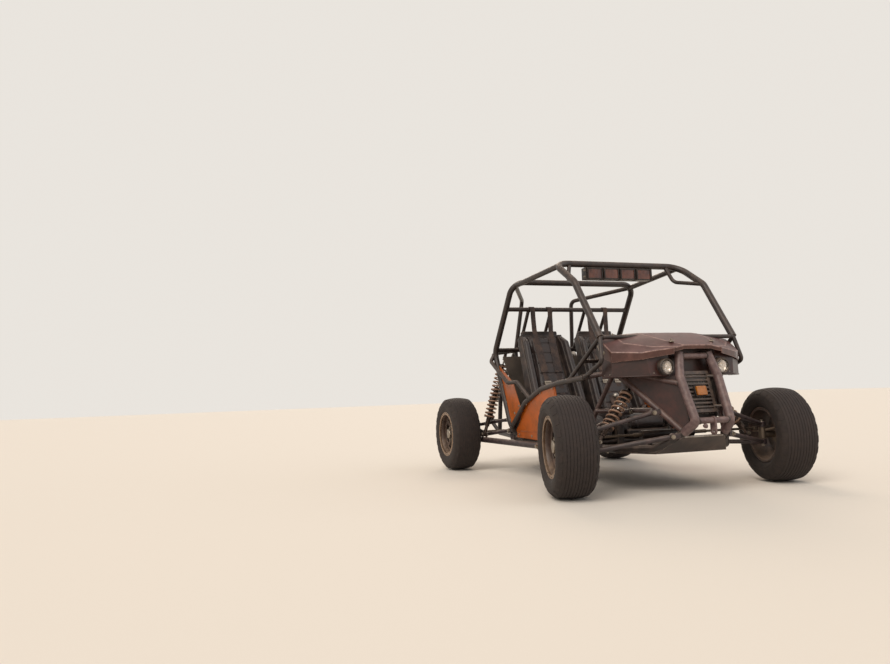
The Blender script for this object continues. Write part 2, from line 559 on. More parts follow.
# Engine and transaxle: sand-cast aluminium, grey and grainy, stained brown by oil and
# dust, with smoother machined covers bolted on.
def cast(name, clean, stained, roughness=0.5, grain=0.0022, relief=0.5):
    """Sand-cast metal: a coarse pitted skin, stains in the low places, dust on top. Grain in metres."""
    material, tree, shader, place = new_material(name, Metallic=0.75)
    pits = add_node(tree, "TexNoise", {"Vector": place, "Scale": 1 / grain, "Detail": 3, "Roughness": 0.6})
    stains = add_node(tree, "TexNoise", {"Vector": place, "Scale": 14, "Detail": 7, "Roughness": 0.68})
    spread = add_node(tree, "MapRange", {"Value": stains, "From Min": 0.44, "From Max": 0.66})
    skin = add_node(tree, "Mix", {0: spread, 6: srgb(clean), 7: srgb(stained)}, data_type="RGBA")
    normal = add_node(tree, "NewGeometry", output="Normal")
    level = add_node(tree, "SeparateXYZ", {"Vector": normal}, output="Z")
    lying = add_node(tree, "Math", {0: level, 1: stains}, operation="MULTIPLY")
    cover = add_node(tree, "MapRange", {"Value": lying, "From Min": 0.25, "From Max": 0.6, "To Max": 0.6})
    dusted = add_node(tree, "Mix", {0: cover, 6: skin, 7: srgb(SAND)}, data_type="RGBA")
    dull = add_node(tree, "MapRange", {"Value": spread, "To Min": roughness, "To Max": roughness + 0.25})
    pitted = add_node(tree, "Bump", {"Height": pits, "Strength": relief, "Distance": grain / 3})
    feed(shader, Base_Color=dusted, Roughness=dull, Normal=pitted)
    return material


def around(count, radius, start=0.5):
    """Points spread round a circle in steps from a share of one step."""
    angles = [tau * (row + start) / count for row in range(count)]
    return [(radius * cos(angle), radius * sin(angle)) for angle in angles]


engine_casting = dress("engine", cast("sand_cast_aluminium", "#8f8a84", "#5d5047"))
dress("transaxle", cast("cast_gearbox_case", "#7c7670", "#4d423b", grain=0.003))
cover_casting = cast("machined_cover", "#a7a19a", "#75685d", roughness=0.32, grain=0.0011, relief=0.2)
engine_low, engine_high = (Vector(corner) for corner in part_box("engine"))
PORT_PITCH = 0.074
cam_rear, cam_front = REAR_AXLE_X + 0.177, REAR_AXLE_X + 0.279
cam_middle = (cam_rear + cam_front) / 2
fixings, covers, caps = bmesh.new(), bmesh.new(), bmesh.new()
bmesh.ops.create_cube(covers, size=1, matrix=Matrix.Translation((cam_middle, 0, engine_high.z - 0.004))
                      @ Matrix.Diagonal((0.09, 0.262, 0.007, 1)))
ease(covers, [edge for edge in covers.edges if abs(edge.verts[0].co.z - edge.verts[1].co.z) > 0.001], 0.014, 5)
settle(covers)
for step in (-1.5, -0.5, 0.5, 1.5):
    coil = Vector((cam_middle, step * PORT_PITCH, engine_high.z - 0.001))
    spin_profile(caps, [(0, 0.02), (0, 16), (7, 16), (8, 13), (20, 12.4), (21, 10), (22, 0.02)], 24,
                 where=Matrix.Translation(coil))
    tab(caps, coil + UPWARD * 0.014, coil + Vector((0.03, 0, 0.014)), 14, 11, UPWARD)
for step in (-1.75, -1, 0, 1, 1.75):
    for edge_x in (cam_rear + 0.009, cam_front - 0.009):
        bolt(fixings, Vector((edge_x, step * PORT_PITCH, engine_high.z - 0.002)), UPWARD, 0.011)
for side, back, height, radius, depth in ((1, 0.150, 0.130, 0.085, 0.034), (-1, 0.130, 0.128, 0.065, 0.044)):
    face = Vector((REAR_AXLE_X + 0.125 + back, side * (0.17 + depth), engine_low.z + height))
    out = OUTWARD * side
    spin_profile(covers, [(-3, 0.02), (-3, radius * 1000 - 3), (-1, radius * 1000 - 6), (0, radius * 720),
                          (-0.5, radius * 600), (-0.5, radius * 330), (-0.1, radius * 300), (-0.1, 0.02)], 40,
                 where=facing(face, out))
    for x, z in around(8, radius * 0.84):
        bolt(fixings, face + Vector((x, 0, z)) - out * 0.004, out, 0.009)
spin_profile(caps, [(0, 0.02), (0, 22), (4, 24), (12, 24), (15, 20), (15, 0.02)], 28, where=facing(
    Vector((REAR_AXLE_X + 0.383, 0.1, engine_low.z + 0.15)), FORWARD))
spin_profile(covers, [(0, 0.02), (0, 36), (8, 39), (60, 39), (68, 34), (70, 0.02)], 36, where=facing(
    Vector((REAR_AXLE_X + 0.383, -0.08, engine_low.z + 0.12)), FORWARD))
for side in LEFT_RIGHT:
    for x, z in around(6, 0.044):
        bolt(fixings, Vector((REAR_AXLE_X + x, side * 0.16, AXLE_HEIGHT + z)), OUTWARD * side, 0.011)
for row in range(10):
    angle = pi * (row / 9) + 0.02
    bolt(fixings, Vector((REAR_AXLE_X + 0.078, 0.116 * cos(angle), 0.3575 + 0.116 * sin(angle))), -FORWARD, 0.012)
finish_piece("engine_covers", covers, cover_casting, slot="engine_metal")
finish_piece("engine_caps", caps, moulded_rubber, slot="engine_metal")
finish_piece("engine_bolts", fixings, zinc, smooth=25, slot="engine_metal")

# Exhaust: bent and welded stainless pipe, straw, bronze and blue from heat near the
# head and dull grey on the muffler, which is banded at its ends.
heat_steel, tree, shader, place = new_material("heat_tinted_stainless", Metallic=1.0)
along_car = add_node(tree, "SeparateXYZ", {"Vector": place}, output="X")
cloudy = add_node(tree, "TexNoise", {"Vector": place, "Scale": 18, "Detail": 6, "Roughness": 0.65})
waver = add_node(tree, "Math", {0: cloudy, 1: 0.16, 2: along_car}, operation="MULTIPLY_ADD")
heat = add_node(tree, "MapRange", {"Value": waver, "From Min": -1.3, "From Max": -0.86})
tint = add_node(tree, "ValToRGB", {"Fac": heat})
ramp = tint.node.color_ramp.elements
ramp[0].color, ramp[1].color = srgb("#8d8782"), srgb("#6b4a35")
for at, colour in ((0.3, "#9b8568"), (0.5, "#8c6749"), (0.7, "#5d4c55"), (0.84, "#565d6c")):
    ramp.new(at).color = srgb(colour)
feed(shader, Base_Color=tint, Roughness=add_node(tree, "MapRange", {"Value": cloudy, "To Min": 0.22, "To Max": 0.5}))
dress("exhaust", heat_steel)
muffler_centre = Vector((REAR_AXLE_X - 0.275, 0, 0.64))
bands, tips = bmesh.new(), bmesh.new()
for at in (-0.178, -0.12, 0.12, 0.178):
    spin_profile(bands, [(-9, 73), (-9, 77), (-7, 78), (7, 78), (9, 77), (9, 73)], 48,
                 where=facing(muffler_centre + OUTWARD * at, OUTWARD))
for side in LEFT_RIGHT:
    spin_profile(tips, [(-30, 25.2), (-30, 27), (0.4, 27), (0.4, 21), (-26, 21), (-26, 0.02), (-27, 0.02)], 32,
                 where=facing(muffler_centre + Vector((-0.095, side * 0.13, 0.018)),
                              Vector((-0.095, 0, 0.018)).normalized()))
finish_piece("muffler_bands", bands, zinc, slot="exhaust_metal")
finish_piece("exhaust_tips", tips, heat_steel, slot="exhaust_metal")

# Air box and filter: a moulded nylon box with spring clips on its lid, and a pleated drum
# of oiled gauze between two rubber caps on its side.
def moulded(name, colour, worn, roughness=0.55, grain=0.0009, dusty=0.4, relief=0.35, dust=SAND):
    """Moulded plastic: fine spark-eroded grain, scuffs and dust. Grain in metres."""
    return coated(name, colour, worn, worn, dust, roughness=roughness, patch=0.07, dusty=dusty, grain=grain,
                  edge=0.0015, edge_wear=0.5, bump=relief)


def plate(mesh, middle, reach, width, thickness, across):
    """Add a tab that reaches equally far to both sides of its middle."""
    tab(mesh, middle - reach, middle + reach, width, thickness, across)


dark_nylon = dress("air_box headlight_pods", moulded("moulded_dark_nylon", "#2b2523", "#4a3f3a"))
gauze = clouded("oiled_filter_gauze", "#5b2c24", "#8d5a45", (500, 2, 0.5), Roughness=0.8)
box_high = Vector(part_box("air_box")[1])
filter_axis = Vector((REAR_AXLE_X + 0.264, 0.144, box_high.z - 0.055))
PLEATS = 44
FILTER_RADIUS = 0.0515
pleats, filter_ends, clips = bmesh.new(), bmesh.new(), bmesh.new()
element = bmesh.ops.create_cone(pleats, segments=PLEATS * 2, radius1=FILTER_RADIUS, radius2=FILTER_RADIUS,
                                depth=0.074, matrix=facing(filter_axis + OUTWARD * 0.052, OUTWARD))
for vert in element["verts"]:
    arm = vert.co - filter_axis
    arm.y = 0
    if round((atan2(arm.z, arm.x) / tau % 1) * PLEATS * 2) % 2:
        vert.co -= arm.normalized() * 0.007
bmesh.ops.solidify(pleats, geom=pleats.faces, thickness=0.0015)
for profile in [[(low, 20), (low, 51), (low + 2, 52.8), (high - 2, 52.8), (high, 50), (high, 20)]
                for low, high in ((4, 16), (86, 95.5))] + [[(88, 0.02), (88, 44), (92, 40), (92, 0.02)]]:
    spin_profile(filter_ends, profile, 44, where=facing(filter_axis, OUTWARD))
for clip_y in (-0.1, 0, 0.1):
    for clip_x in (-0.153, 0.003):
        plate(clips, Vector((box_high.x + clip_x, clip_y, box_high.z - 0.05)), UPWARD * 0.02, 22, 3, FORWARD)
finish_piece("air_filter_pleats", pleats, gauze, smooth=10, slot="air_box_plastic")
finish_piece("air_filter_caps", filter_ends, moulded_rubber, slot="air_box_plastic")
finish_piece("air_box_clips", clips, zinc, slot="air_box_plastic")

# Fuel tank: a spun aluminium drum with rolled seams, strapped to the deck, with a ring of
# screws round its filler.
spun_aluminium, tree, shader, place = new_material("spun_aluminium", Metallic=1.0)
stretched = add_node(tree, "Mapping", {"Vector": place, "Scale": (900, 6, 900)})
turning = add_node(tree, "TexNoise", {"Vector": stretched, "Scale": 1, "Detail": 3})
smears = add_node(tree, "TexNoise", {"Vector": place, "Scale": 9, "Detail": 7, "Roughness": 0.7})
grime = add_node(tree, "MapRange", {"Value": smears, "From Min": 0.42, "From Max": 0.7})
drum = add_node(tree, "Mix", {0: grime, 6: srgb("#a9a29a"), 7: srgb("#8a7566")}, data_type="RGBA")
feed(shader, Base_Color=drum, Roughness=add_node(tree, "MapRange", {"Value": turning, "To Min": 0.26, "To Max": 0.48}))
dress("fuel_tank", spun_aluminium)
tank_centre = Vector((REAR_AXLE_X + 0.374, 0, 0.99))
seams, tank_bolts = bmesh.new(), bmesh.new()
for side in LEFT_RIGHT:
    spin_profile(seams, [(-3, 92), (-3, 93.5), (-1, 95), (1, 95), (3, 93.5), (3, 92)], 60,
                 where=facing(tank_centre + OUTWARD * side * 0.196, OUTWARD))
    under = tank_centre + Vector((-0.02, side * 0.15, -0.1))
    rod(tank_bolts, under, under + FORWARD * 0.04, 9)
for x, y in around(12, 0.0325, 0):
    spot = tank_centre + Vector((x - 0.03, y, 0.1065))
    rod(tank_bolts, spot, spot + UPWARD * 0.019, 4.5, 8)
finish_piece("tank_seams", seams, spun_aluminium, slot="tank_metal")
finish_piece("tank_fittings", tank_bolts, zinc, slot="tank_metal")

# Radiator: a painted aluminium core behind the grille, its cooling fins crimped between flat
# tubes.
dress("radiator", coated("painted_radiator", "#2d2928", "#4e4642", "#8c847c", SAND, dusty=0.3, grain=0.001))
core_low, core_high = (Vector(corner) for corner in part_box("radiator"))
fins = bmesh.new()
bars = [((core_high.x + 0.0006, 0, core_low.z + 0.03 + row * 0.0062), (0.003, 0.25, 0.0016)) for row in range(34)]
bars += [((core_high.x - 0.0004, -0.12 + column * 0.02, (core_low.z + core_high.z) / 2), (0.005, 0.0034, 0.215))
         for column in range(13)]
for middle, sizes in bars:
    bmesh.ops.create_cube(fins, size=1, matrix=Matrix.Translation(middle) @ Matrix.Diagonal((*sizes, 1)))
finish_piece("radiator_fins", fins, engine_casting, slot="radiator_metal")

# Tail lamps: round red lamps in rubber cups, bolted up on tabs over the rear bumper's top
# tube.
red_lens = clouded("red_acrylic", "#8e1710", skin=("TexVoronoi", {"Scale": 260}, {}, 0.4, 0.0012), Roughness=0.2,
                   Transmission_Weight=0.2, Coat_Weight=0.4)
tail_cups, tail_lenses = bmesh.new(), bmesh.new()
for side in LEFT_RIGHT:
    base = mirrored(joints["bumper_high"] + Vector((-0.006, -0.1, 0.058)), side)
    where = facing(base, -FORWARD)
    spin_profile(tail_cups, [(-26, 0.02), (-26, 26), (-20, 33), (4, 36), (8, 36), (8, 31), (2, 30.5), (2, 0.02)], 36,
                 where=where)
    spin_profile(tail_lenses, [(2.2, 0.02), (2.2, 30), (9, 30), (13, 24), (15, 12), (15.4, 0.02)], 36, where=where)
    plate(tail_cups, base + Vector((0.014, 0, -0.039)), UPWARD * 0.019, 28, 4, FORWARD)
finish_piece("tail_lamp_cups", tail_cups, moulded_rubber, slot="lamp_housing")
finish_piece("tail_lamp_lenses", tail_lenses, red_lens, smooth=50, slot="lamp_housing")


# Floor and firewall: a skid plate of dark painted sheet, scuffed bright from below and
# screwed to the rails, and a swaged aluminium firewall behind the seats.
dress("skid_plate", coated("scuffed_skid_plate", "#2d2421", "#4a3b34", "#98877a", "#a08a78", dusty=0.35, patch=0.12,
                           edge=0.006, grain=0.003))
firewall_sheet = dress("firewall", coated(
    "dull_aluminium_sheet", "#5d5650", "#6b625a", "#9c948b", SAND, roughness=0.4, patch=0.2, dusty=0.3,
    grain=0.0012, Metallic=0.6))
screws, swages, skid_edge = bmesh.new(), bmesh.new(), bmesh.new()
for side in LEFT_RIGHT:
    for share in (0.08, 0.24, 0.4, 0.56, 0.72, 0.88):
        spot = mirrored(joints["rail_front"].lerp(joints["rail_rear"], share), side)
        bolt(screws, Vector((spot.x, spot.y - side * 0.012, 0.2622)), -UPWARD, 0.014)
fire_low, fire_high = Vector((-0.427, 0.426, 0.316)), Vector((-0.585, 0.56, 1.025))
fire_up = (fire_high - fire_low).normalized()
fire_face = FORWARD - fire_up * fire_up.x
fire_out = fire_face.normalized()
for share in (0.14, 0.34, 0.54):
    edge = fire_low.lerp(fire_high, share)
    for face in (1, -1):
        plate(swages, Vector((edge.x, 0, edge.z)) + fire_face * face * 0.003, OUTWARD * (edge.y - 0.07), 16, 5,
              fire_face)
for share in (0.06, 0.2, 0.34, 0.48, 0.62, 0.76, 0.9):
    for side in LEFT_RIGHT:
        spot = mirrored(fire_low.lerp(fire_high, share), side) - OUTWARD * side * 0.016
        for face in (1, -1):
            bolt(screws, spot + fire_out * face * 0.002, fire_out * face, 0.01)
rod(skid_edge, Vector((1.366, -0.15, 0.374)), Vector((1.366, 0.15, 0.374)), 13)
finish_piece("firewall_swages", swages, firewall_sheet, slot="firewall_metal")
finish_piece("panel_screws", screws, zinc, smooth=25, slot="firewall_metal")
finish_piece("skid_edge_bar", skid_edge, cover_casting, slot="skid_metal")

# Side panels: flat aluminium sheet in burnt orange enamel, chipped at its edges and hazed
# with dust, held to tabs on the tubes by quarter-turn fasteners.
orange_enamel = dress("side_panels", coated(
    "burnt_orange_enamel", "#b2560f", "#86450f", "#70503a", "#a57a50", roughness=0.34, patch=0.11, dusty=0.5,
    edge=0.004, grain=0.0012, bump=0.12))
sill = [Vector((-0.377, 0.542, 0.316)), Vector((0.475, 0.542, 0.3)), Vector((0.475, 0.6, 0.752)),
        joints["arch_top"], joints["arch_rear"], Vector((-0.377, 0.556, 0.4))]
quarter = [Vector((-0.58, 0.612, 0.96)), Vector((-0.389, 0.592, 0.43)), Vector((-0.145, 0.604, 0.572)),
           Vector((-0.265, 0.65, 0.785))]


def panel_normal(corners):
    """The outward side of a flat panel on the left."""
    normal = (corners[1] - corners[0]).cross(corners[2] - corners[0]).normalized()
    return normal if normal.y > 0 else -normal


buttons, ribs, gussets = bmesh.new(), bmesh.new(), bmesh.new()
for corners, held in ((sill, (3, 4)), (quarter, (3,))):
    middle = sum(corners, Vector()) / len(corners)
    inset = [corner.lerp(middle, 0.13) for corner in corners]
    spots = [inset[0].lerp(inset[1], share) for share in (0.0, 0.33, 0.66, 1.0)]
    spots += [inset[1].lerp(inset[2], share) for share in (0.5, 1.0)] + [inset[corner] for corner in held]
    for spot in spots:
        for side in LEFT_RIGHT:
            place, out = mirrored(spot, side), mirrored(panel_normal(corners), side)
            spin_profile(buttons, [(0, 0.02), (0, 11), (1.6, 11), (3.4, 8), (3.8, 5), (2.6, 4.6), (2.6, 0.02)], 20,
                         where=facing(place + out * 0.002, out))
            plate(buttons, place + out * 0.0052, FORWARD * 0.004, 1.6, 1.6, out)
sill_out = panel_normal(sill)
swaged_lines = []
for at, width, low, high in ((0.47, 9, 0.02, 0.98), (0.452, 4, 0.03, 0.97)):
    foot, head = Vector((at, 0.542, 0.3)), Vector((at, 0.6, 0.752))
    swaged_lines.append((foot.lerp(head, low), foot.lerp(head, high), width, 5, 0.004))
swaged_lines.append((sill[0].lerp(sill[5], 0.7) + FORWARD * 0.04, Vector((0.43, 0.5535, 0.39)), 12, 4, 0.0035))
for start, end, width, thickness, lift in swaged_lines:
    for side in LEFT_RIGHT:
        tab(ribs, mirrored(start + sill_out * lift, side), mirrored(end + sill_out * lift, side), width, thickness,
            mirrored(sill_out, side))
for side in LEFT_RIGHT:
    for start, end, width in (((-0.392, 0.546, 0.33), (-0.4, 0.554, 0.44), 62),
                              ((-0.385, 0.553, 0.394), (-0.24, 0.573, 0.494), 46)):
        tab(gussets, mirrored(Vector(start), side), mirrored(Vector(end), side), width, 4, OUTWARD * side)
finish_piece("side_panel_ribs", ribs, orange_enamel, slot="orange_panel")
finish_piece("sill_gussets", gussets, frame_coat, slot="frame_paint")
finish_piece("quarter_turn_fasteners", buttons, zinc, slot="orange_panel")

# Nose, cheeks and grille: dark moulded shells rubbed reddish, riveted on above a rolled
# lower edge, and a slatted grille in black paint.
nose_skin = dress("nose nose_cheeks", coated(
    "rubbed_nose_shell", "#2a1510", "#40201a", "#6e4638", "#543226", roughness=0.4, patch=0.09, dusty=0.2,
    edge=0.004, edge_wear=0.7, grain=0.0014))
dress("grille", coated("black_painted_grille", "#2b2321", "#4a3a33", "#8a7462", SAND, dusty=0.35, edge=0.0018,
                       patch=0.03))
NOSE_FLOOR, RIVET_HEIGHT = 0.775, 0.792
nose_plan = ((1.03, 0.52), (1.134, 0.518), (1.298, 0.329), (1.299, 0.19))
lips = bpy.data.curves.new("nose_lip", "CURVE")
lips.dimensions = "3D"
lips.bevel_depth = 0.0055
lips.bevel_resolution = 3
rivets = bmesh.new()
for side in LEFT_RIGHT:
    edge = lips.splines.new("POLY")
    edge.points.add(len(nose_plan) - 1)
    for point, (x, y) in zip(edge.points, nose_plan):
        point.co = (x, side * y, NOSE_FLOOR, 1)
    for (x, y), (next_x, next_y) in zip(nose_plan, nose_plan[1:]):
        start, end = Vector((x, side * y, RIVET_HEIGHT)), Vector((next_x, side * next_y, RIVET_HEIGHT))
        out = UPWARD.cross(end - start).normalized() * side
        for share in (0.2, 0.8):
            rod(rivets, start.lerp(end, share) - out * 0.004, start.lerp(end, share) + out * 0.0015, 11, 16, 7)
lips.materials.append(nose_skin)
nose_lip = new_object("nose_lip", lips)
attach(nose_lip, "chassis")
finish_piece("nose_rivets", rivets, zinc, slot="nose_plastic")

# Headlamps: a polished steel reflector and bulb behind a fluted glass lens, in a dark
# plastic bezel that is clipped into a round pod.
clear_glass = clouded("fluted_clear_glass", "#f7f3ee", skin=(
    "TexWave", {"Scale": 26, "Distortion": 0.4}, {"bands_direction": "Y"}, 0.35, 0.002), Roughness=0.16,
                      Transmission_Weight=1.0, IOR=1.5)
polished = clouded("polished_reflector", "#e2dcd6", clouds=(130, 3, 0.5), gloss=(0.2, 0.42), Metallic=1.0)
glasses, bowls, bezels = bmesh.new(), bmesh.new(), bmesh.new()
for side in LEFT_RIGHT:
    for mesh, steps, profile in (
            (glasses, 48, [(-10, 44), (-5, 43.4), (-1, 37), (2.4, 25), (4.2, 11), (4.6, 0.02), (1.6, 0.02),
                           (1.2, 11), (-0.6, 25), (-4, 36), (-8, 41), (-10, 41.5)]),
            (bowls, 48, [(-11, 44.5), (-18, 38), (-25, 29), (-31, 18), (-34, 9), (-34, 0.02), (-35, 0.02),
                         (-35.5, 9), (-33, 18.5), (-27, 30), (-19.5, 40), (-11, 45)]),
            (bowls, 20, [(-33, 0.02), (-33, 6), (-24, 6), (-20, 5), (-17, 3), (-16, 0.02)]),
            (bowls, 24, [(-15, 0.02), (-15, 9), (-13.6, 9.6), (-12.6, 6), (-12.2, 0.02)]),
            (bezels, 48, [(-9, 45.2), (-3, 45.2), (-3, 42.6), (0.5, 42.4), (3, 45), (3.4, 48.6), (1.2, 51.6),
                          (-2, 51.8), (-2, 45.2)])):
        spin_profile(mesh, profile, steps, where=facing(Vector((1.333, side * 0.22, 0.83)), FORWARD))
finish_piece("headlamp_glasses", glasses, clear_glass, smooth=60, slot="lamp_lens", stands_for="headlights")
finish_piece("headlamp_reflectors", bowls, polished, smooth=50, slot="lamp_lens")
finish_piece("headlamp_bezels", bezels, dark_nylon, smooth=40, slot="lamp_housing")

# Marker lamp on the grille: a ribbed amber acrylic lens in a black rubber-edged housing, and
# a small painted lamp hung under the bumper's lower tube.
dress("marker_lamp", clouded("amber_acrylic", "#7c3f08", "#cf7f1a", (16, 3, 0.5), skin=(
    "TexWave", {"Scale": 38}, {"bands_direction": "Z"}, 0.7, 0.003), Roughness=0.22, Transmission_Weight=0.12,
                             IOR=1.49, Coat_Weight=0.4))
marker_low, marker_high = (Vector(corner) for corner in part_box("marker_lamp"))
grille_up = Vector((-0.0740, 0, 0.274)).normalized()
grille_out = OUTWARD.cross(grille_up).normalized()
frames, low_lamp = bmesh.new(), bmesh.new()
for aside, reach in ((OUTWARD * 0.043, grille_up * 0.035), (-OUTWARD * 0.043, grille_up * 0.035),
                     (grille_up * 0.034, OUTWARD * 0.044), (-grille_up * 0.034, OUTWARD * 0.044)):
    plate(frames, (marker_low + marker_high) / 2 + aside - grille_out * 0.006, reach, 6, 17, grille_out)
lamp_place = Vector((joints["bumper_low_cross"].x + 0.012, -0.07, joints["bumper_low_cross"].z - 0.034))
spin_profile(low_lamp, [(-16, 0.02), (-16, 10), (-4, 15), (4, 15), (6, 12), (8, 7), (9, 0.02)], 28,
             where=facing(lamp_place, FORWARD))
tab(low_lamp, lamp_place + Vector((-0.006, 0, 0.036)), lamp_place - FORWARD * 0.006, 16, 5, FORWARD)
finish_piece("marker_lamp_frame", frames, moulded_rubber, slot="lamp_housing")
finish_piece("low_marker_light", low_lamp, bumper_coat, smooth=50, slot="lamp_lens")

# Hood: a hand-laid glass-fibre shell in reddish brown gelcoat, faded mauve on top and worn
# pale along its ridges. It hooks over the front lip and is pinned at its corners.
hood_coat = coated("faded_red_brown_gelcoat", "#40221a", "#5e3b32", "#ab897c", "#806566", roughness=0.32,
                   patch=0.13, dusty=0.42, edge=0.006, edge_wear=0.6, grain=0.0016, bump=0.14)
stations = (
    # x, skirt's depth, edge y, z, shoulder y, z, bulge y, z
    (-299, 60, 399, 1051, 330, 1077, 214, 1093), (-180, 90, 466, 1044, 371, 1070.5, 219.5, 1089.5),
    (-60, 116, 527, 1033, 410, 1059, 224, 1083), (0, 92, 525, 991, 415, 1031.5, 225, 1068),
    (60, 66, 519, 943, 420, 1003, 224, 1051), (130, 54, 449, 937, 356, 985.5, 203, 1029),
    (200, 42, 375, 930, 290, 967, 179, 1005), (245, 39, 283, 942.5, 221, 964.5, 142.5, 988),
    (285, 36, 189, 954, 150, 961, 105, 971),
)
RIDGE_WIDTH = 0.0068
shell = bmesh.new()
columns, chains = {}, []
for x, skirt, edge_y, edge_z, shoulder_y, shoulder_z, bulge_y, bulge_z in stations:
    half = [(edge_y - 2, edge_z - skirt - 4), (edge_y - 0.5, edge_z - skirt * 0.5), (edge_y, edge_z),
            ((edge_y + shoulder_y) / 2, (edge_z + shoulder_z) / 2 - 1), (shoulder_y, shoulder_z),
            ((shoulder_y + bulge_y) / 2, (shoulder_z + bulge_z) / 2 - 1), (bulge_y, bulge_z),
            (bulge_y * 0.5, bulge_z + 0.6), (0, bulge_z + 0.8)]
    row = []
    for y, z in half + [(-y, z) for y, z in reversed(half[:-1])]:
        row.append(shell.verts.new(((FRONT_AXLE_X + x / 1000), y / 1000, z / 1000)))
        columns[row[-1]] = min(len(row) - 1, 17 - len(row))
    chains.append([shell.edges.new(pair) for pair in zip(row, row[1:])])
for near, far in zip(chains, chains[1:]):
    bmesh.ops.bridge_loops(shell, edges=near + far)
lip = bmesh.ops.extrude_edge_only(shell, edges=chains[-1][2:-2])
lip_verts = [item for item in lip["geom"] if isinstance(item, bmesh.types.BMVert)]
bmesh.ops.translate(shell, verts=lip_verts, vec=(-0.004, 0, -0.026))
ridges = [edge for edge in shell.edges if columns.get(edge.verts[0]) in (2, 4, 6)
          and columns.get(edge.verts[0]) == columns.get(edge.verts[1]) and edge.verts[0].co.x != edge.verts[1].co.x]
ridges += chains[-1][3:-3]
ridge_lines = [[vert.co.copy() for vert in edge.verts] for edge in ridges]
ease(shell, ridges, 0.005, 3)
bmesh.ops.subdivide_edges(shell, edges=shell.edges, cuts=2, use_grid_fill=True)
ridge = shell.verts.layers.float.new("ridge")
for vert in shell.verts:
    for start, end in ridge_lines:
        share = min(max((vert.co - start).dot(end - start) / (end - start).length_squared, 0), 1)
        if (vert.co - start.lerp(end, share)).length < RIDGE_WIDTH:
            vert[ridge] = 1
    ripple = noise.noise(vert.co * 9) + 0.5 * noise.noise(vert.co * 23)
    vert.co.z -= 0.0011 * (1 + ripple)
bmesh.ops.recalc_face_normals(shell, faces=shell.faces)
bmesh.ops.solidify(shell, geom=shell.faces, thickness=0.0045)
tree = hood_coat.node_tree
shader = tree.nodes["Principled BSDF"]
painted = shader.inputs["Base Color"].links[0].from_socket
ridge_line = add_node(tree, "Attribute", output="Fac", attribute_name="ridge")
place = add_node(tree, "TexCoord", output="Object")
streaks = add_node(tree, "TexNoise", {"Vector": place, "Scale": 26, "Detail": 6, "Roughness": 0.7})
narrow = add_node(tree, "MapRange", {"Value": ridge_line, "From Min": 0.8})
broken = add_node(tree, "Math", {0: narrow, 1: streaks}, operation="MULTIPLY")
rubbed_line = add_node(tree, "MapRange", {"Value": broken, "From Min": 0.34, "From Max": 0.64, "To Max": 0.8})
feed(shader, Base_Color=add_node(tree, "Mix", {0: rubbed_line, 6: painted, 7: srgb("#a98a80")}, data_type="RGBA"))
finish_piece("hood_shell", shell, hood_coat, smooth=24, slot="hood_paint", stands_for="hood")
pins, snaps = bmesh.new(), bmesh.new()
for x, y, height in ((FRONT_AXLE_X - 0.26, 0.3, 1.0805), (FRONT_AXLE_X + 0.225, 0.16, 0.9985)):
    for side in LEFT_RIGHT:
        base = Vector((x, side * y, height))
        spin_profile(pins, [(-3, 0.02), (-3, 19), (1.2, 19), (2.4, 17), (2.4, 8), (4, 7), (4, 0.02)], 28,
                     where=Matrix.Translation(base))
        rod(pins, base, base + UPWARD * 0.018, 9)
        rod(pins, base + Vector((-0.016, 0, 0.011)), base + Vector((0.016, 0, 0.011)), 3)
for x, skirt, edge_y, edge_z in ((-250, 78, 428, 1049), (-120, 104, 500, 1038), (-20, 100, 526, 1006)):
    for side in LEFT_RIGHT:
        spin_profile(snaps, [(-2, 0.02), (-2, 12), (1.4, 12), (3.4, 8), (3.4, 0.02)], 24, where=facing(
            Vector((FRONT_AXLE_X + x / 1000, side * (edge_y - 1) / 1000, (edge_z - skirt * 0.62) / 1000)),
            Vector((-0.05, side, 0)).normalized()))
finish_piece("hood_pins", pins, zinc, slot="hood_paint")
finish_piece("hood_fasteners", snaps, zinc, slot="hood_paint")

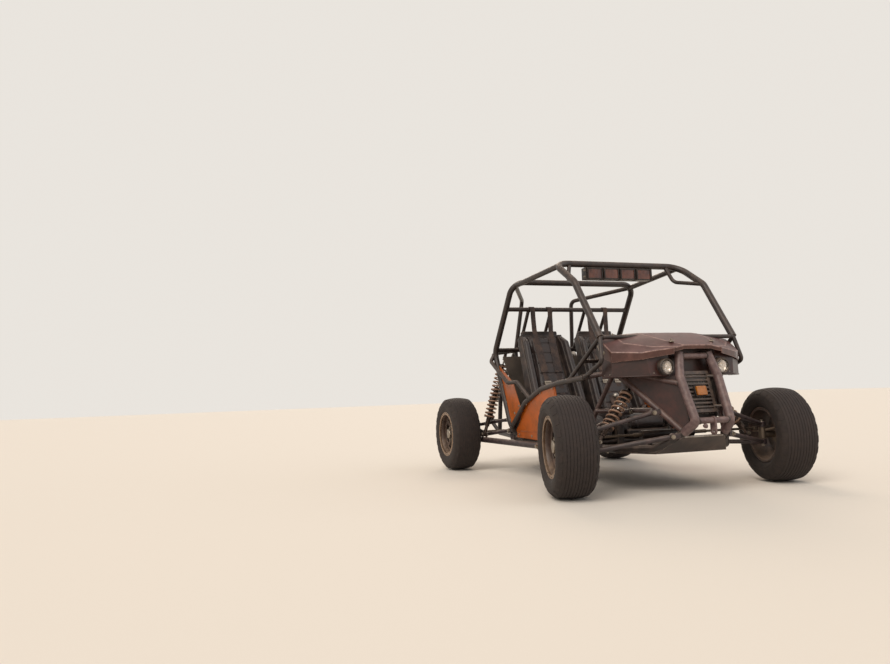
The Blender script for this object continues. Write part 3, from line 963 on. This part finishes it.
# Dashboard: a moulded binnacle with two large dials and a small one, a switch panel and a
# grab bar for the passenger, screwed to the dash tube.
dress("dashboard", moulded("grained_dash_plastic", "#2a2423", "#4a3f3b", roughness=0.62, grain=0.0016, relief=0.5,
                           dust="#8d7a6a"))
dial_black = clouded("printed_dial_face", "#151312", Roughness=0.5)
dial_mark = clouded("white_dial_print", "#d9d0c2", Roughness=0.6)
needle_red = clouded("orange_needle_plastic", "#d8521a", Roughness=0.4)
dash_out = Vector((-0.983, 0, 0.184)).normalized()
dash_up = OUTWARD.cross(dash_out).normalized()
panel_point = Vector((0.7475, 0, 1.0))
cups, faces, marks, needles, rockers, switch_plate, grab_bar = (bmesh.new() for _ in range(7))
for dial_y, radius, needle_turn, ticks in ((0.235, 36, 215, 24), (0.325, 36, 232, 24), (0.155, 20, 140, 12)):
    base = panel_point + OUTWARD * dial_y
    where = facing(base, dash_out)
    spin_profile(cups, [(-4, radius), (-4, radius + 4), (7, radius + 4), (9, radius + 2.4), (9, radius + 0.6),
                        (3, radius - 1.6), (0, radius - 1.6)], 48, where=where)
    spin_profile(faces, [(0, 0.02), (0, radius - 1), (1.8, radius - 1), (1.8, 0.02)], 48, where=where)
    spin_profile(needles, [(1.8, 0.02), (1.8, radius * 0.14), (4.4, radius * 0.12), (4.4, 0.02)], 20, where=where)
    for tick in range(ticks + 1):
        angle = radians(-45 + 270 * tick / ticks)
        ray = dash_up * sin(angle) - OUTWARD * cos(angle)
        inner, width = (0.78, 0.9) if tick % 4 else (0.68, 1.6)
        tab(marks, base + dash_out * 0.0021 + ray * (radius * inner / 1000),
            base + dash_out * 0.0021 + ray * (radius * 0.88 / 1000), width, 0.6, dash_out)
    ray = dash_up * sin(radians(needle_turn)) - OUTWARD * cos(radians(needle_turn))
    tab(needles, base + dash_out * 0.0038 - ray * radius * 0.0002, base + dash_out * 0.0038 + ray * radius * 0.00076,
        1.6, 0.8, dash_out)
plate(switch_plate, panel_point + dash_out * 0.001, OUTWARD * 0.105, 58, 3, dash_out)
for row in range(5):
    middle = panel_point + OUTWARD * (row - 2) * 0.034 + dash_out * 0.005
    plate(rockers, middle, dash_up * 0.019, 22, 6, dash_out)
    tab(rockers, middle + dash_up * 0.001 + dash_out * 0.003, middle + dash_up * 0.017 + dash_out * 0.006, 18, 5,
        dash_out)
    plate(needles if row == 1 else marks, middle + dash_up * 0.0086 + dash_out * 0.0078, OUTWARD * 0.004, 2.4, 0.8,
          dash_out)
for post_y in (-0.36, -0.18):
    post = panel_point + OUTWARD * post_y
    rod(grab_bar, post - dash_out * 0.004, post + dash_out * 0.05, 16)
rod(grab_bar, panel_point - OUTWARD * 0.385 + dash_out * 0.05, panel_point - OUTWARD * 0.155 + dash_out * 0.05, 24, 28)
for name, mesh, material in (
        ("gauge_cups", cups, moulded_rubber), ("dial_faces", faces, dial_black), ("dial_marks", marks, dial_mark),
        ("dial_needles", needles, needle_red), ("switch_plate", switch_plate, engine_casting),
        ("rocker_switches", rockers, dark_nylon), ("passenger_grab_bar", grab_bar, moulded_rubber)):
    finish_piece(name, mesh, material, slot="dash_plastic")

# Controls: three pedals with ribbed rubber pads on a floor plate, and a gear lever with a
# turned knob, standing in a rubber boot on the tunnel.
dress("controls", coated("worn_control_paint", "#2f2a29", "#55483f", "#a0968b", SAND, dusty=0.4, edge=0.003))
treads, lever_boot, lever_knob = bmesh.new(), bmesh.new(), bmesh.new()
pedal_out = Vector((-0.19, 0, 0.048)).normalized()
pedal_up = OUTWARD.cross(pedal_out)
for pedal_y in (0.185, 0.262, 0.34):
    face = Vector((0.732, pedal_y, 0.458)) + pedal_out * 0.005
    plate(treads, face + pedal_out * 0.0015, pedal_up * 0.0345, 56, 5, pedal_out)
    for row in range(6):
        plate(treads, face + pedal_up * (row - 2.5) * 0.011 + pedal_out * 0.0045, OUTWARD * 0.024, 5, 5, pedal_out)
lever_base, lever_tip = Vector((0.335, 0, 0.418)), Vector((0.347, 0, 0.645))
lever_along = (lever_tip - lever_base).normalized()
KNOB_RADIUS = 23.2
spin_profile(lever_boot, [(-2, 0.02), (-2, 46), (3, 46), (5, 40), (12, 33), (15, 37), (20, 28), (23, 32), (28, 23),
                          (31, 27), (37, 18), (40, 22), (47, 13), (62, 12), (64, 9), (64, 0.02)], 40,
             where=facing(lever_base, lever_along))
ball = [(KNOB_RADIUS * sin(radians(step)), max(KNOB_RADIUS * cos(radians(step)), 0.02)) for step in range(-48, 91, 9)]
spin_profile(lever_knob, [(-34, 9), (-34, 12), (-25, 14)] + ball + [(-33, 0.02)], 36,
             where=facing(lever_tip, lever_along))
finish_piece("pedal_pads", treads, moulded_rubber, slot="control_metal")
finish_piece("gear_lever_boot", lever_boot, moulded_rubber, slot="control_metal")
finish_piece("gear_lever_knob", lever_knob, spun_aluminium, slot="control_metal")

# Steering wheel: a steel ring in stitched grip rubber on a drilled aluminium spider, bolted
# to a quick-release hub on the column's splined shaft.
wheel_axis = Vector((cos(radians(25)), 0, -sin(radians(25))))
wheel_frame = (Matrix.Translation((0.445, 0.28, 0.95))
               @ Matrix((OUTWARD, wheel_axis.cross(OUTWARD), wheel_axis)).transposed().to_4x4()
               @ Matrix.Rotation(radians(84), 4, "Z"))
grip_rubber = moulded("stitched_grip_rubber", "#1e1b1a", "#3d3430", roughness=0.7, grain=0.0011, dusty=0.25,
                      relief=0.7, dust="#7d6c5d")
STITCHES, STITCH_RADIUS = 84, 0.1398
grip, stitches, boss, hub_steel, spokes = (bmesh.new() for _ in range(5))
spin_profile(grip, [(15 * sin(tau * step / 16) * 0.95, 155 + 15 * cos(tau * step / 16)) for step in range(16)], 96)
for step in range(STITCHES):
    angle = tau * step / STITCHES
    start, end = (Vector((cos(turn), sin(turn), 0)) * STITCH_RADIUS for turn in (angle, angle + 0.03))
    for lean in (-1, 1):
        rod(stitches, start + UPWARD * 0.0028 * lean, end - UPWARD * 0.0004 * lean, 1.6, 6)
spin_profile(boss, [(-16, 0.02), (-15.5, 15), (-13, 21), (-9, 23), (-9, 28), (-5, 30), (-3, 30), (-3, 0.02)], 40)
spin_profile(hub_steel, [(3, 10), (3, 35), (8, 35), (10, 32), (14, 26), (16, 28), (34, 28), (36, 25), (46, 24),
                         (52, 17), (52, 10.9), (160, 10.9), (160, 0.02), (4, 0.02)], 40)
for x, y in around(6, 0.036):
    bolt(hub_steel, Vector((x, y, -0.0025)), -UPWARD, 0.009)
spider = bpy.data.curves.new("steering_wheel_spider", "CURVE")
spider.dimensions = "2D"
spider.fill_mode = "BOTH"
spider.extrude = 0.0016
spider.bevel_depth = 0.0006
SPOKE_EDGE = ((0.047, 0.017), (0.06, 0.0145), (0.142, 0.012))
outline, holes = [], [around(24, 0.0165, 0)]
for middle in (radians(30), radians(150), radians(270)):
    for way, edge in ((-1, SPOKE_EDGE), (1, SPOKE_EDGE[::-1])):
        outline += [(radius * cos(middle) - way * half * sin(middle), radius * sin(middle) + way * half * cos(middle))
                    for radius, half in edge]
    outline += [(0.045 * cos(middle + radians(turn)), 0.045 * sin(middle + radians(turn))) for turn in (38, 60, 82)]
    for radius, size in ((0.072, 0.0075), (0.095, 0.0068), (0.116, 0.006)):
        holes.append([(radius * cos(middle) + x, radius * sin(middle) + y) for x, y in around(20, size, 0)])
for loop in [outline] + holes:
    spline = spider.splines.new("POLY")
    spline.points.add(len(loop) - 1)
    for point, (x, y) in zip(spline.points, loop):
        point.co = (x, y, 0, 1)
    spline.use_cyclic_u = True
spokes.from_mesh(bpy.data.meshes.new_from_object(bpy.data.objects.new("spider_shape", spider)))
for name, mesh, material, smooth, slot, stands_for in (
        ("steering_wheel_grip", grip, grip_rubber, 35, "dash_plastic", "steering_wheel"),
        ("grip_stitches", stitches, dial_mark, 35, None, None), ("horn_button", boss, moulded_rubber, 35, None, None),
        ("steering_quick_release", hub_steel, zinc, 35, None, None),
        ("steering_wheel_spokes", spokes, spun_aluminium, 30, "dash_plastic", None)):
    finish_piece(name, mesh, material, "steering_wheel_body", wheel_frame, smooth, slot, stands_for)

# Seats: a moulded bucket shell with foam pads in grained vinyl, sewn in channels, each pad
# swollen against its cover; the two seats are alike.
seat_vinyl = clouded("grained_seat_vinyl", "#211817", "#4a352d", (9, 7, 0.66), (0.45, 0.72, 0.5), (0.36, 0.62),
                     ("TexVoronoi", {"Scale": 420}, {}, 0.35, 0.0008), Roughness=0.5, Sheen_Weight=0.12)
seat_plastic = moulded("moulded_seat_shell", "#231d1c", "#463a35", grain=0.002, relief=0.4, dust="#85705f")
SEAT_BASE, SEAT_Y = 0.309, 0.28


def seat_block(mesh, outline, middle, width, rounding):
    """Add a block with a side profile of (x from the front axle, height) and a width in mm, its edges eased."""
    corners = [mesh.verts.new((FRONT_AXLE_X + x / 1000, (middle - width / 2) / 1000, SEAT_BASE + z / 1000))
               for x, z in outline]
    grown = bmesh.ops.extrude_face_region(mesh, geom=[mesh.faces.new(corners)])
    far = [item for item in grown["geom"] if isinstance(item, bmesh.types.BMVert)]
    bmesh.ops.translate(mesh, verts=far, vec=(0, width / 1000, 0))
    ease(mesh, {edge for vert in corners + far for edge in vert.link_edges}, rounding / 1000, 3)


def on_back(share, depth):
    """A place on the seat's back, by its share of the height and its depth in mm behind the front face."""
    return -1120 - 310 * share - 0.923 * depth, 160 + 745 * share - 0.384 * depth


shell, padding = bmesh.new(), bmesh.new()
seat_block(shell, [(-1200, 2), (-700, 2), (-694, 66), (-744, 72), (-756, 116), (-1100, 92), (-1162, 142),
                   (-1470, 890), (-1460, 926), (-1518, 922), (-1245, 122)], 0, 414, 13)
for side in LEFT_RIGHT:
    seat_block(shell, [(-722, 62), (-733, 122), (-1046, 120), (-1128, 204), (-1390, 824), (-1440, 874),
                       (-1438, 894), (-1497, 858), (-1228, 102), (-1000, 62)], side * 210, 56, 8)
    seat_block(padding, [(-730, 124), (-742, 218), (-1040, 206), (-1048, 150), (-1040, 124)], side * 209, 46, 16)
    seat_block(padding, [(-1080, 236), (-1331, 830), (-1426, 880), (-1432, 866), (-1382, 818), (-1124, 212)],
               side * 209, 46, 16)
seat_block(padding, [(-704, 78), (-696, 118), (-742, 176), (-1082, 148), (-1084, 104), (-762, 126), (-750, 78)], 0,
           336, 14)
seat_block(padding, [on_back(0.035, 10), on_back(0.975, 10), on_back(0.975, 46), on_back(0.035, 46)], 0, 336, 14)
for mesh in (shell, padding):
    for vert in mesh.verts:
        vert.co.y *= 1 - 0.2 * max((vert.co.z - SEAT_BASE - 0.6) / 0.33, 0) ** 2
pad_mesh = bpy.data.meshes.new("seat_padding")
padding.to_mesh(pad_mesh)
padding.free()
pad = new_object("seat_padding_middle", pad_mesh)
VOXEL, PRESSURE, MOST_SWELLING, CLOTH_FRAMES = 0.006, 4, 0.022, 20
BACK_LENGTH = 807
BACK_SEAMS = [BACK_LENGTH * share for share in (0.15, 0.27, 0.39, 0.51, 0.63, 0.75, 0.87)]
BASE_SEAMS = (800, 870, 940, 1010)


def bake(piece):
    """Replace an object's mesh with what its modifiers make of it, and return the mesh."""
    made = bpy.data.meshes.new_from_object(piece.evaluated_get(bpy.context.evaluated_depsgraph_get()))
    piece.modifiers.clear()
    piece.data = made
    return made


remeshed = pad.modifiers.new("even_mesh", "REMESH")
remeshed.mode = "VOXEL"
remeshed.voxel_size = VOXEL
rest = [vert.co.copy() for vert in bake(pad).vertices]
swelling = pad.modifiers.new("swelling", "CLOTH").settings
swelling.use_pressure = True
swelling.uniform_pressure_force = PRESSURE
swelling.effector_weights.gravity = 0
for frame_number in range(CLOTH_FRAMES):
    scene.frame_set(frame_number + 1)
for vert, start in zip(bake(pad).vertices, rest):
    moved = vert.co - start
    if moved.length > MOST_SWELLING:
        moved = moved.normalized() * MOST_SWELLING
    vert.co = start + moved
    x, z = (vert.co.x - FRONT_AXLE_X) * 1000, (vert.co.z - SEAT_BASE) * 1000
    along = ((x + 1120) * -310 + (z - 160) * 745) / (310 ** 2 + 745 ** 2) * BACK_LENGTH
    inward, seams_here = Vector((-0.923, 0, -0.384)), BACK_SEAMS
    if x > -1095 and z < 215:
        inward, along, seams_here = -UPWARD, -x, BASE_SEAMS
    if abs(vert.co.y) < 0.172:
        beside = abs(abs(vert.co.y) - 0.118)
        depth = 0.008 * exp(-(beside / 0.007) ** 2)
        if abs(vert.co.y) < 0.122:
            depth = max(depth, max(0.006 * exp(-((along - seam) / 6) ** 2) for seam in seams_here))
        vert.co += inward * depth
for polygon in pad.data.polygons:
    polygon.use_smooth = True
pad.data.materials.append(seat_vinyl)
for side, name in ((-1, "right"), (1, "left")):
    cushion_mesh = pad.data.copy()
    cushion_mesh.transform(Matrix.Translation((0, side * SEAT_Y, 0)))
    cushions = new_object(f"seat_padding_{name}", cushion_mesh)
    rounding = cushions.modifiers.new("rounding", "SUBSURF")
    rounding.levels = rounding.render_levels = 1
    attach(cushions, "chassis")
    finish_piece(f"seat_shell_{name}", shell.copy(), seat_plastic, matrix=Matrix.Translation((0, side * SEAT_Y, 0)),
                 slot="seat_cover", stands_for=f"seat_{name}")
shell.free()
bpy.data.objects.remove(pad)

# Harnesses: four-point belts of woven polyester webbing that hang from the cage over each
# seat's back and lie buckled on its cushion, with padded sleeves and steel slides.
webbing = clouded("woven_polyester_webbing", "#2a1e1c", "#6f5646", (14, 6, 0.65), (0.42, 0.75, 0.6), skin=(
    "TexWave", {"Scale": 150, "Distortion": 0.6, "Detail": 1}, {"bands_direction": "DIAGONAL"}, 0.5, 0.0008),
                  Roughness=0.85, Sheen_Weight=0.25)
BELT_WIDTH = 46


def ribbon(mesh, path, width=BELT_WIDTH, thickness=1.8, steps=6):
    """Add a flat strap along a smooth path of (place, across) pairs. Width and thickness in mm."""
    rows = []
    for index in range(len(path) - 1):
        quad = [path[max(index - 1, 0)], path[index], path[index + 1], path[min(index + 2, len(path) - 1)]]
        for step in range(steps + (index == len(path) - 2)):
            t = step / steps
            weights = (-0.5 * t + t * t - 0.5 * t ** 3, 1 - 2.5 * t * t + 1.5 * t ** 3,
                       0.5 * t + 2 * t * t - 1.5 * t ** 3, -0.5 * t * t + 0.5 * t ** 3)
            rows.append([sum((item[part] * weight for item, weight in zip(quad, weights)), Vector())
                         for part in (0, 1)])
    loops = []
    for index, (middle, across) in enumerate(rows):
        tangent = rows[min(index + 1, len(rows) - 1)][0] - rows[max(index - 1, 0)][0]
        across = across.normalized() * width / 2000
        lift = across.cross(tangent).normalized() * thickness / 2000
        loops.append([mesh.verts.new(middle + out) for out in (
            across * 0.97 + lift, across, across * 0.97 - lift, -across * 0.97 - lift, -across,
            -across * 0.97 + lift)])
    for near, far in zip(loops, loops[1:]):
        for corner in range(6):
            mesh.faces.new((near[corner], near[corner - 1], far[corner - 1], far[corner]))
    mesh.faces.new(loops[0])
    mesh.faces.new(loops[-1][::-1])


def belt_point(x, height, y):
    """A belt's place on the seat at seat_y: x off the front axle, height over the base, y off the middle, in mm."""
    return Vector((FRONT_AXLE_X + x / 1000, seat_y + y / 1000, SEAT_BASE + height / 1000))


belts, sleeves, buckles, slides = (bmesh.new() for _ in range(4))
bar = joints["harness_end"]
for seat_y in (-SEAT_Y, SEAT_Y):
    for side in (-1, 1):
        run = [Vector((bar.x + x, seat_y + side * y, bar.z + z))
               for x, y, z in ((-0.024, 0.085, -0.012), (-0.008, 0.085, 0.022), (0.024, 0.084, 0.01))]
        run += [belt_point(x, height, side * y)
                for x, height, y in ((-1415, 1050, 83), (-1410, 965, 81), (-1404, 912, 79))]
        run += [belt_point(*on_back(share, -12), side * y)
                for share, y in ((0.8, 74), (0.6, 68), (0.4, 60), (0.22, 50))]
        run += [belt_point(x, height, side * y)
                for x, height, y in ((-1108, 222, 42), (-1062, 184, 36), (-1000, 180, 28), (-958, 188, 22))]
        ribbon(belts, [(point, OUTWARD) for point in run])
        ribbon(sleeves, [(belt_point(*on_back(share, -15), side * y), OUTWARD)
                         for share, y in ((0.93, 77), (0.8, 74), (0.66, 70), (0.52, 65))], 66, 11)
        adjuster = belt_point(*on_back(0.4, -15), side * 60)
        plate(slides, adjuster, OUTWARD * 0.031, 34, 3, Vector((0.923, 0, 0.384)))
        rod(slides, adjuster + Vector((0.004, -0.026, 0.002)), adjuster + Vector((0.004, 0.026, 0.002)), 6)
        ribbon(belts, [(belt_point(x, height, side * y), Vector((1, side * lean, 0))) for x, height, y, lean in (
            (-1112, 40, 246, 0), (-1100, 190, 245, 0), (-1084, 246, 226, 0), (-1050, 232, 184, 0.25),
            (-990, 186, 120, 0.5), (-940, 186, 44, 0.3))])
        tab(slides, belt_point(-938, 190, side * 22), belt_point(-948, 188, side * 62), 30, 3, UPWARD)
    spin_profile(buckles, [(0, 0.02), (0, 32), (13, 32), (16, 29), (16, 25), (20, 24), (22, 20), (22, 0.02)], 40,
                 where=Matrix.Translation(belt_point(-925, 184, 0)))
    tab(buckles, belt_point(-944, 207, 0), belt_point(-906, 207, 0), 12, 5, UPWARD)
finish_piece("harness_belts", belts, webbing, smooth=50, slot="seat_cover")
finish_piece("harness_sleeves", sleeves, webbing, smooth=50, slot="seat_cover")
finish_piece("harness_buckles", buckles, moulded_rubber, slot="seat_cover")
finish_piece("harness_slides", slides, zinc, slot="seat_cover")

# Light bar: four pressed lamp bodies in black paint on a folded tray under the roof's front
# tube, each with a fluted smoked lens in a rubber frame.
lamp_paint = dress("light_bar", coated("black_lamp_paint", "#231d1b", "#453833", "#8f7f72", SAND, dusty=0.4,
                                       edge=0.003))
smoked = clouded("smoked_red_brown_lens", "#3c1f19", "#6e4334", (11, 5, 0.6), (0.35, 0.7, 1), (0.25, 0.55),
                 Roughness=0.22, Coat_Weight=0.25, Specular_IOR_Level=0.4)
light_bar = Vector((0.47, 0, 1.597))
LENS_WIDTH, FLUTE_PITCH = 0.119, 0.0125
fluted, surrounds, brackets, bar_bolts = (bmesh.new() for _ in range(4))
for lamp in range(4):
    lamp_y = (lamp - 1.5) * 0.147
    middle = light_bar + OUTWARD * lamp_y
    made = bmesh.ops.create_grid(fluted, x_segments=48, y_segments=2, size=0.5, matrix=Matrix(
        ((0, 0, 1, middle.x + 0.0345), (LENS_WIDTH, 0, 0, lamp_y), (0, 0.073, 0, middle.z), (0, 0, 0, 1))))
    for vert in made["verts"]:
        aside = vert.co.y - lamp_y
        vert.co.x += (0.0035 * (1 - (2 * aside / LENS_WIDTH) ** 2)
                      - 0.0011 * (1 - cos(aside * tau / FLUTE_PITCH)) / 2)
    for side in (-1, 1):
        plate(surrounds, middle + Vector((0.033, side * 0.0615, 0)), UPWARD * 0.0405, 7, 12, FORWARD)
        plate(surrounds, middle + Vector((0.033, 0, side * 0.0385)), OUTWARD * 0.058, 7, 12, FORWARD)
        bolt(bar_bolts, middle + Vector((-0.041, side * 0.04, -0.026)), -FORWARD, 0.013)
    for row in range(7):
        plate(brackets, middle + Vector((-0.046, (row - 3) * 0.014, 0.008)), UPWARD * 0.028, 12, 3, OUTWARD)
bmesh.ops.solidify(fluted, geom=fluted.faces, thickness=0.003)
for side in LEFT_RIGHT:
    plate(brackets, light_bar + Vector((-0.002, side * 0.297, 0.001)), UPWARD * 0.045, 66, 4, OUTWARD)
    for height in (-0.024, 0.026):
        bolt(bar_bolts, light_bar + Vector((0.012, side * 0.299, height)), OUTWARD * side, 0.014)
plate(brackets, light_bar + Vector((-0.004, 0, 0.0465)), OUTWARD * 0.297, 70, 3, UPWARD)
finish_piece("lamp_lenses_fluted", fluted, smoked, smooth=60, slot="roof_lens", stands_for="light_bar_lenses")
finish_piece("lamp_surrounds", surrounds, moulded_rubber, slot="lamp_housing")
finish_piece("light_bar_brackets", brackets, lamp_paint, slot="lamp_housing")
finish_piece("light_bar_bolts", bar_bolts, zinc, smooth=25, slot="lamp_housing")

# Tyres: tubeless sand tyres of black-brown rubber. Ten plain ribs run round the crown,
# with low lugs over the shoulders and scuff ribs down the sidewalls.
TREAD_STEPS = 240
TREAD_DEPTH, LUG_DEPTH = 0.003, 0.0022
TYRE_TOP = 334.4
SIDEWALL_RADIUS = 0.29
RIBS = ((0.1005, 0.084), (0.08, 0.0635), (0.0595, 0.043), (0.039, 0.0225), (0.0185, 0.002))
tyre_rubber, tree, shader, place = new_material("dusty_tyre_rubber", Roughness=0.82)
tips = add_node(tree, "Attribute", output="Fac", attribute_name="tread_tip")
scuff = add_node(tree, "TexNoise", {"Vector": place, "Scale": 24, "Detail": 7, "Roughness": 0.7})
dusting = add_node(tree, "MapRange", {"Value": scuff, "From Min": 0.42, "From Max": 0.72, "To Min": 0.05,
                                      "To Max": 0.6})
groove = add_node(tree, "Mix", {0: dusting, 6: srgb("#221b18"), 7: srgb("#3c302a")}, data_type="RGBA")
crown = add_node(tree, "Mix", {0: dusting, 6: srgb("#251d1b"), 7: srgb("#382c27")}, data_type="RGBA")
pores = add_node(tree, "TexNoise", {"Vector": place, "Scale": 420, "Detail": 4, "Roughness": 0.6})
feed(shader, Base_Color=add_node(tree, "Mix", {0: tips, 6: groove, 7: crown}, data_type="RGBA"),
     Normal=add_node(tree, "Bump", {"Height": pores, "Strength": 0.4, "Distance": 0.0008}))


def polar(face):
    """A face's radius, its distance along the Z axis and its turn round it as a share of one."""
    middle = face.calc_center_median()
    return hypot(middle.x, middle.y), middle.z, atan2(middle.y, middle.x) / tau % 1


def tyre_bmesh(half_width, sidewall):
    """A tyre round the Z axis, from its half width and the points of its outer sidewall, in mm."""
    shoulder = half_width - 26
    edges = sorted({edge * side * 1000 for rib in RIBS for edge in rib for side in LEFT_RIGHT})
    tread = [(out, TYRE_TOP - 14 * (out / shoulder) ** 2 - TREAD_DEPTH * 1000)
             for out in edges if abs(out) < shoulder - 1]
    inner = [(-out, radius) for out, radius in reversed(sidewall)]
    mesh = bmesh.new()
    spin_profile(mesh, [(-100, 187.5), (-100, 197.5)] + inner + tread + sidewall + [(100, 204), (100, 187.5)],
                 TREAD_STEPS)
    tip = mesh.verts.layers.float.new("tread_tip")
    raised = []
    for face in mesh.faces:
        radius, out, turn = polar(face)
        ribbed = any(low < abs(out) < high for high, low in RIBS)
        lugged = abs(out) > shoulder / 1000 and int(turn * TREAD_STEPS) // 2 % 5 < 3
        if radius >= SIDEWALL_RADIUS and (ribbed or lugged):
            raised.append(face)
    lifted = bmesh.ops.extrude_face_region(mesh, geom=raised)["geom"]
    bmesh.ops.delete(mesh, geom=raised, context="FACES_ONLY")
    mesh.normal_update()
    tops = {item for item in lifted if isinstance(item, bmesh.types.BMVert)}
    for vert in tops:
        lug = abs(vert.co.z) > shoulder / 1000 - 0.002
        spoke = Vector((vert.co.x, vert.co.y, 0)).normalized()
        if lug:
            spoke = (spoke + UPWARD * (0.9 if vert.co.z > 0 else -0.9)).normalized()
        vert.co += spoke * (LUG_DEPTH if lug else TREAD_DEPTH)
        vert[tip] = 1
    ease(mesh, [edge for edge in mesh.edges if all(vert in tops for vert in edge.verts)
                and len(edge.link_faces) == 2 and edge.calc_face_angle(0) > radians(50)], 0.0014)
    return mesh


STEER_AT_REST = Matrix.Rotation(radians(-14), 3, "Z")
HALF_TRACK, KINGPIN_OFFSET = 0.84, 0.105
wheels = []
for end, axle_x, half_width, sidewall in (
        ("front", FRONT_AXLE_X, 137.5, [(109, 314), (118, 306), (127, 296), (131, 289), (135.5, 274), (136.8, 264),
                                        (136, 250), (134.2, 248), (133.2, 244), (134, 240), (129.5, 226),
                                        (124.6, 216), (117, 205.6)]),
        ("rear", REAR_AXLE_X, 130, [(102, 314), (110, 306), (119, 296), (123, 289), (128, 274), (129.6, 264),
                                    (129.4, 250), (128, 248), (127.2, 244), (128, 240), (125.5, 226),
                                    (122.4, 216), (117, 205.6)])):
    source = tyre_bmesh(half_width, sidewall)
    for side_name, side in (("left", 1), ("right", -1)):
        out, middle = OUTWARD * side, Vector((axle_x, side * HALF_TRACK, AXLE_HEIGHT))
        if end == "front":
            out = STEER_AT_REST @ out
            middle = Vector((axle_x, side * (HALF_TRACK - KINGPIN_OFFSET), AXLE_HEIGHT)) + out * KINGPIN_OFFSET
        level = out.cross(UPWARD)
        where = Matrix.Translation(middle) @ Matrix((level, out.cross(level), out)).transposed().to_4x4()
        name = f"{end}_{side_name}"
        finish_piece(f"tyre_tread_{name}", source.copy(), tyre_rubber, f"wheel_{name}", where, 30, "tyre_rubber",
                     f"tyre_{name}")
        wheels.append((name, where))
    source.free()

# Rims: cast aluminium under dark brown paint, eight windows round a dished centre. A
# bead ring of pale bronze anodised aluminium is bolted to the outer lip. Behind them sit
# the plated hub and a turned steel brake disc.
RIM_STEPS = 96
SPOKES = 8
WINDOW_INSIDE, WINDOW_OUTSIDE = 0.086, 0.153
DISC_STEPS = 72
rim_paint = coated("painted_cast_rim", "#3a2d28", "#55433a", "#a08a78", SAND, dusty=0.42, edge=0.003)
ring_finish = coated("anodised_bead_ring", "#8c7460", "#a08974", "#c9b49c", SAND, roughness=0.34, dusty=0.4,
                     edge=0.0015, Metallic=0.8)
disc_steel = clouded("turned_brake_steel", "#8a8480", "#6b4a38", (30, 5, 0.7), (0.5, 0.72, 1), Metallic=1.0,
                     Roughness=0.36)
for name, where in wheels:
    barrel, centre, ring, fixings, hub, disc = (bmesh.new() for _ in range(6))
    spin_profile(barrel, [(-112, 186), (-112, 194), (-109, 197.6), (-103, 197.6), (-99, 195), (-98, 186.0),
                          (98, 186.0), (99, 204), (101, 204), (103, 186), (103, 178), (99, 175.4), (70, 175.4),
                          (50, 177), (-70, 177), (-100, 176), (-108, 178)], RIM_STEPS)
    spin_profile(centre, [(70, 176), (69, 166), (64, 152), (58.5, 134), (55.5, 112), (56, 90), (60, 72),
                          (68, 58), (76, 50), (78, 40)], RIM_STEPS, closed=False)
    windows = []
    for face in centre.faces:
        radius, out, turn = polar(face)
        half = 0.33 - 0.06 * (WINDOW_OUTSIDE - radius) / (WINDOW_OUTSIDE - WINDOW_INSIDE)
        if WINDOW_INSIDE < radius < WINDOW_OUTSIDE and abs(turn * SPOKES % 1 - 0.5) < half:
            windows.append(face)
    bmesh.ops.delete(centre, geom=windows, context="FACES")
    bmesh.ops.recalc_face_normals(centre, faces=centre.faces)
    bmesh.ops.solidify(centre, geom=centre.faces, thickness=0.009)
    spin_profile(ring, [(102, 182), (117.5, 180), (118, 183), (115.5, 187), (115.5, 199), (118, 202), (117, 204.6),
                        (102, 204.6)], RIM_STEPS)
    for count, radius, out, size in ((20, 0.193, 0.1152, 0.008), (5, 0.057, 0.0745, 0.021)):
        for x, y in around(count, radius):
            bolt(fixings, Vector((x, y, out)), UPWARD, size)
    spin_profile(hub, [(-8, 22.5), (-8, 56), (52, 56), (56, 52), (72, 46), (76, 42), (92, 41), (96, 38), (98, 30),
                       (99, 8), (99, 0.05), (60, 0.05), (60, 22.5)], 48)
    spin_profile(disc, [(-8, 56), (-8, 66), (-7.6, 78), (-7.6, 112), (-0.4, 112), (-0.4, 78), (0, 66), (0, 56)],
                 DISC_STEPS)
    slots = []
    for face in disc.faces:
        radius, out, turn = polar(face)
        if 0.08 < radius < 0.11 and abs(face.normal.z) > 0.9 and int(turn * DISC_STEPS) % 6 == 0:
            slots.append(face)
    bmesh.ops.inset_individual(disc, faces=slots, thickness=0.003, depth=-0.0016)
    for piece, mesh, material, smooth, slot, stands_for in (
            ("rim_barrel", barrel, rim_paint, 40, "rim_paint", f"rim_{name}"),
            ("rim_centre", centre, rim_paint, 50, "rim_paint", None),
            ("bead_ring", ring, ring_finish, 30, "rim_paint", None), ("wheel_bolts", fixings, zinc, 25, None, None),
            ("hub", hub, zinc, 30, "axle_steel", None), ("brake_disc", disc, disc_steel, 30, "axle_steel", None)):
        made = finish_piece(f"{piece}_{name}", mesh, material, f"wheel_{name}", where, smooth, slot, stands_for)
        if piece == "rim_centre":
            rounding = made.modifiers.new("rounding", "BEVEL")
            rounding.width, rounding.segments, rounding.limit_method = 0.0022, 2, "ANGLE"
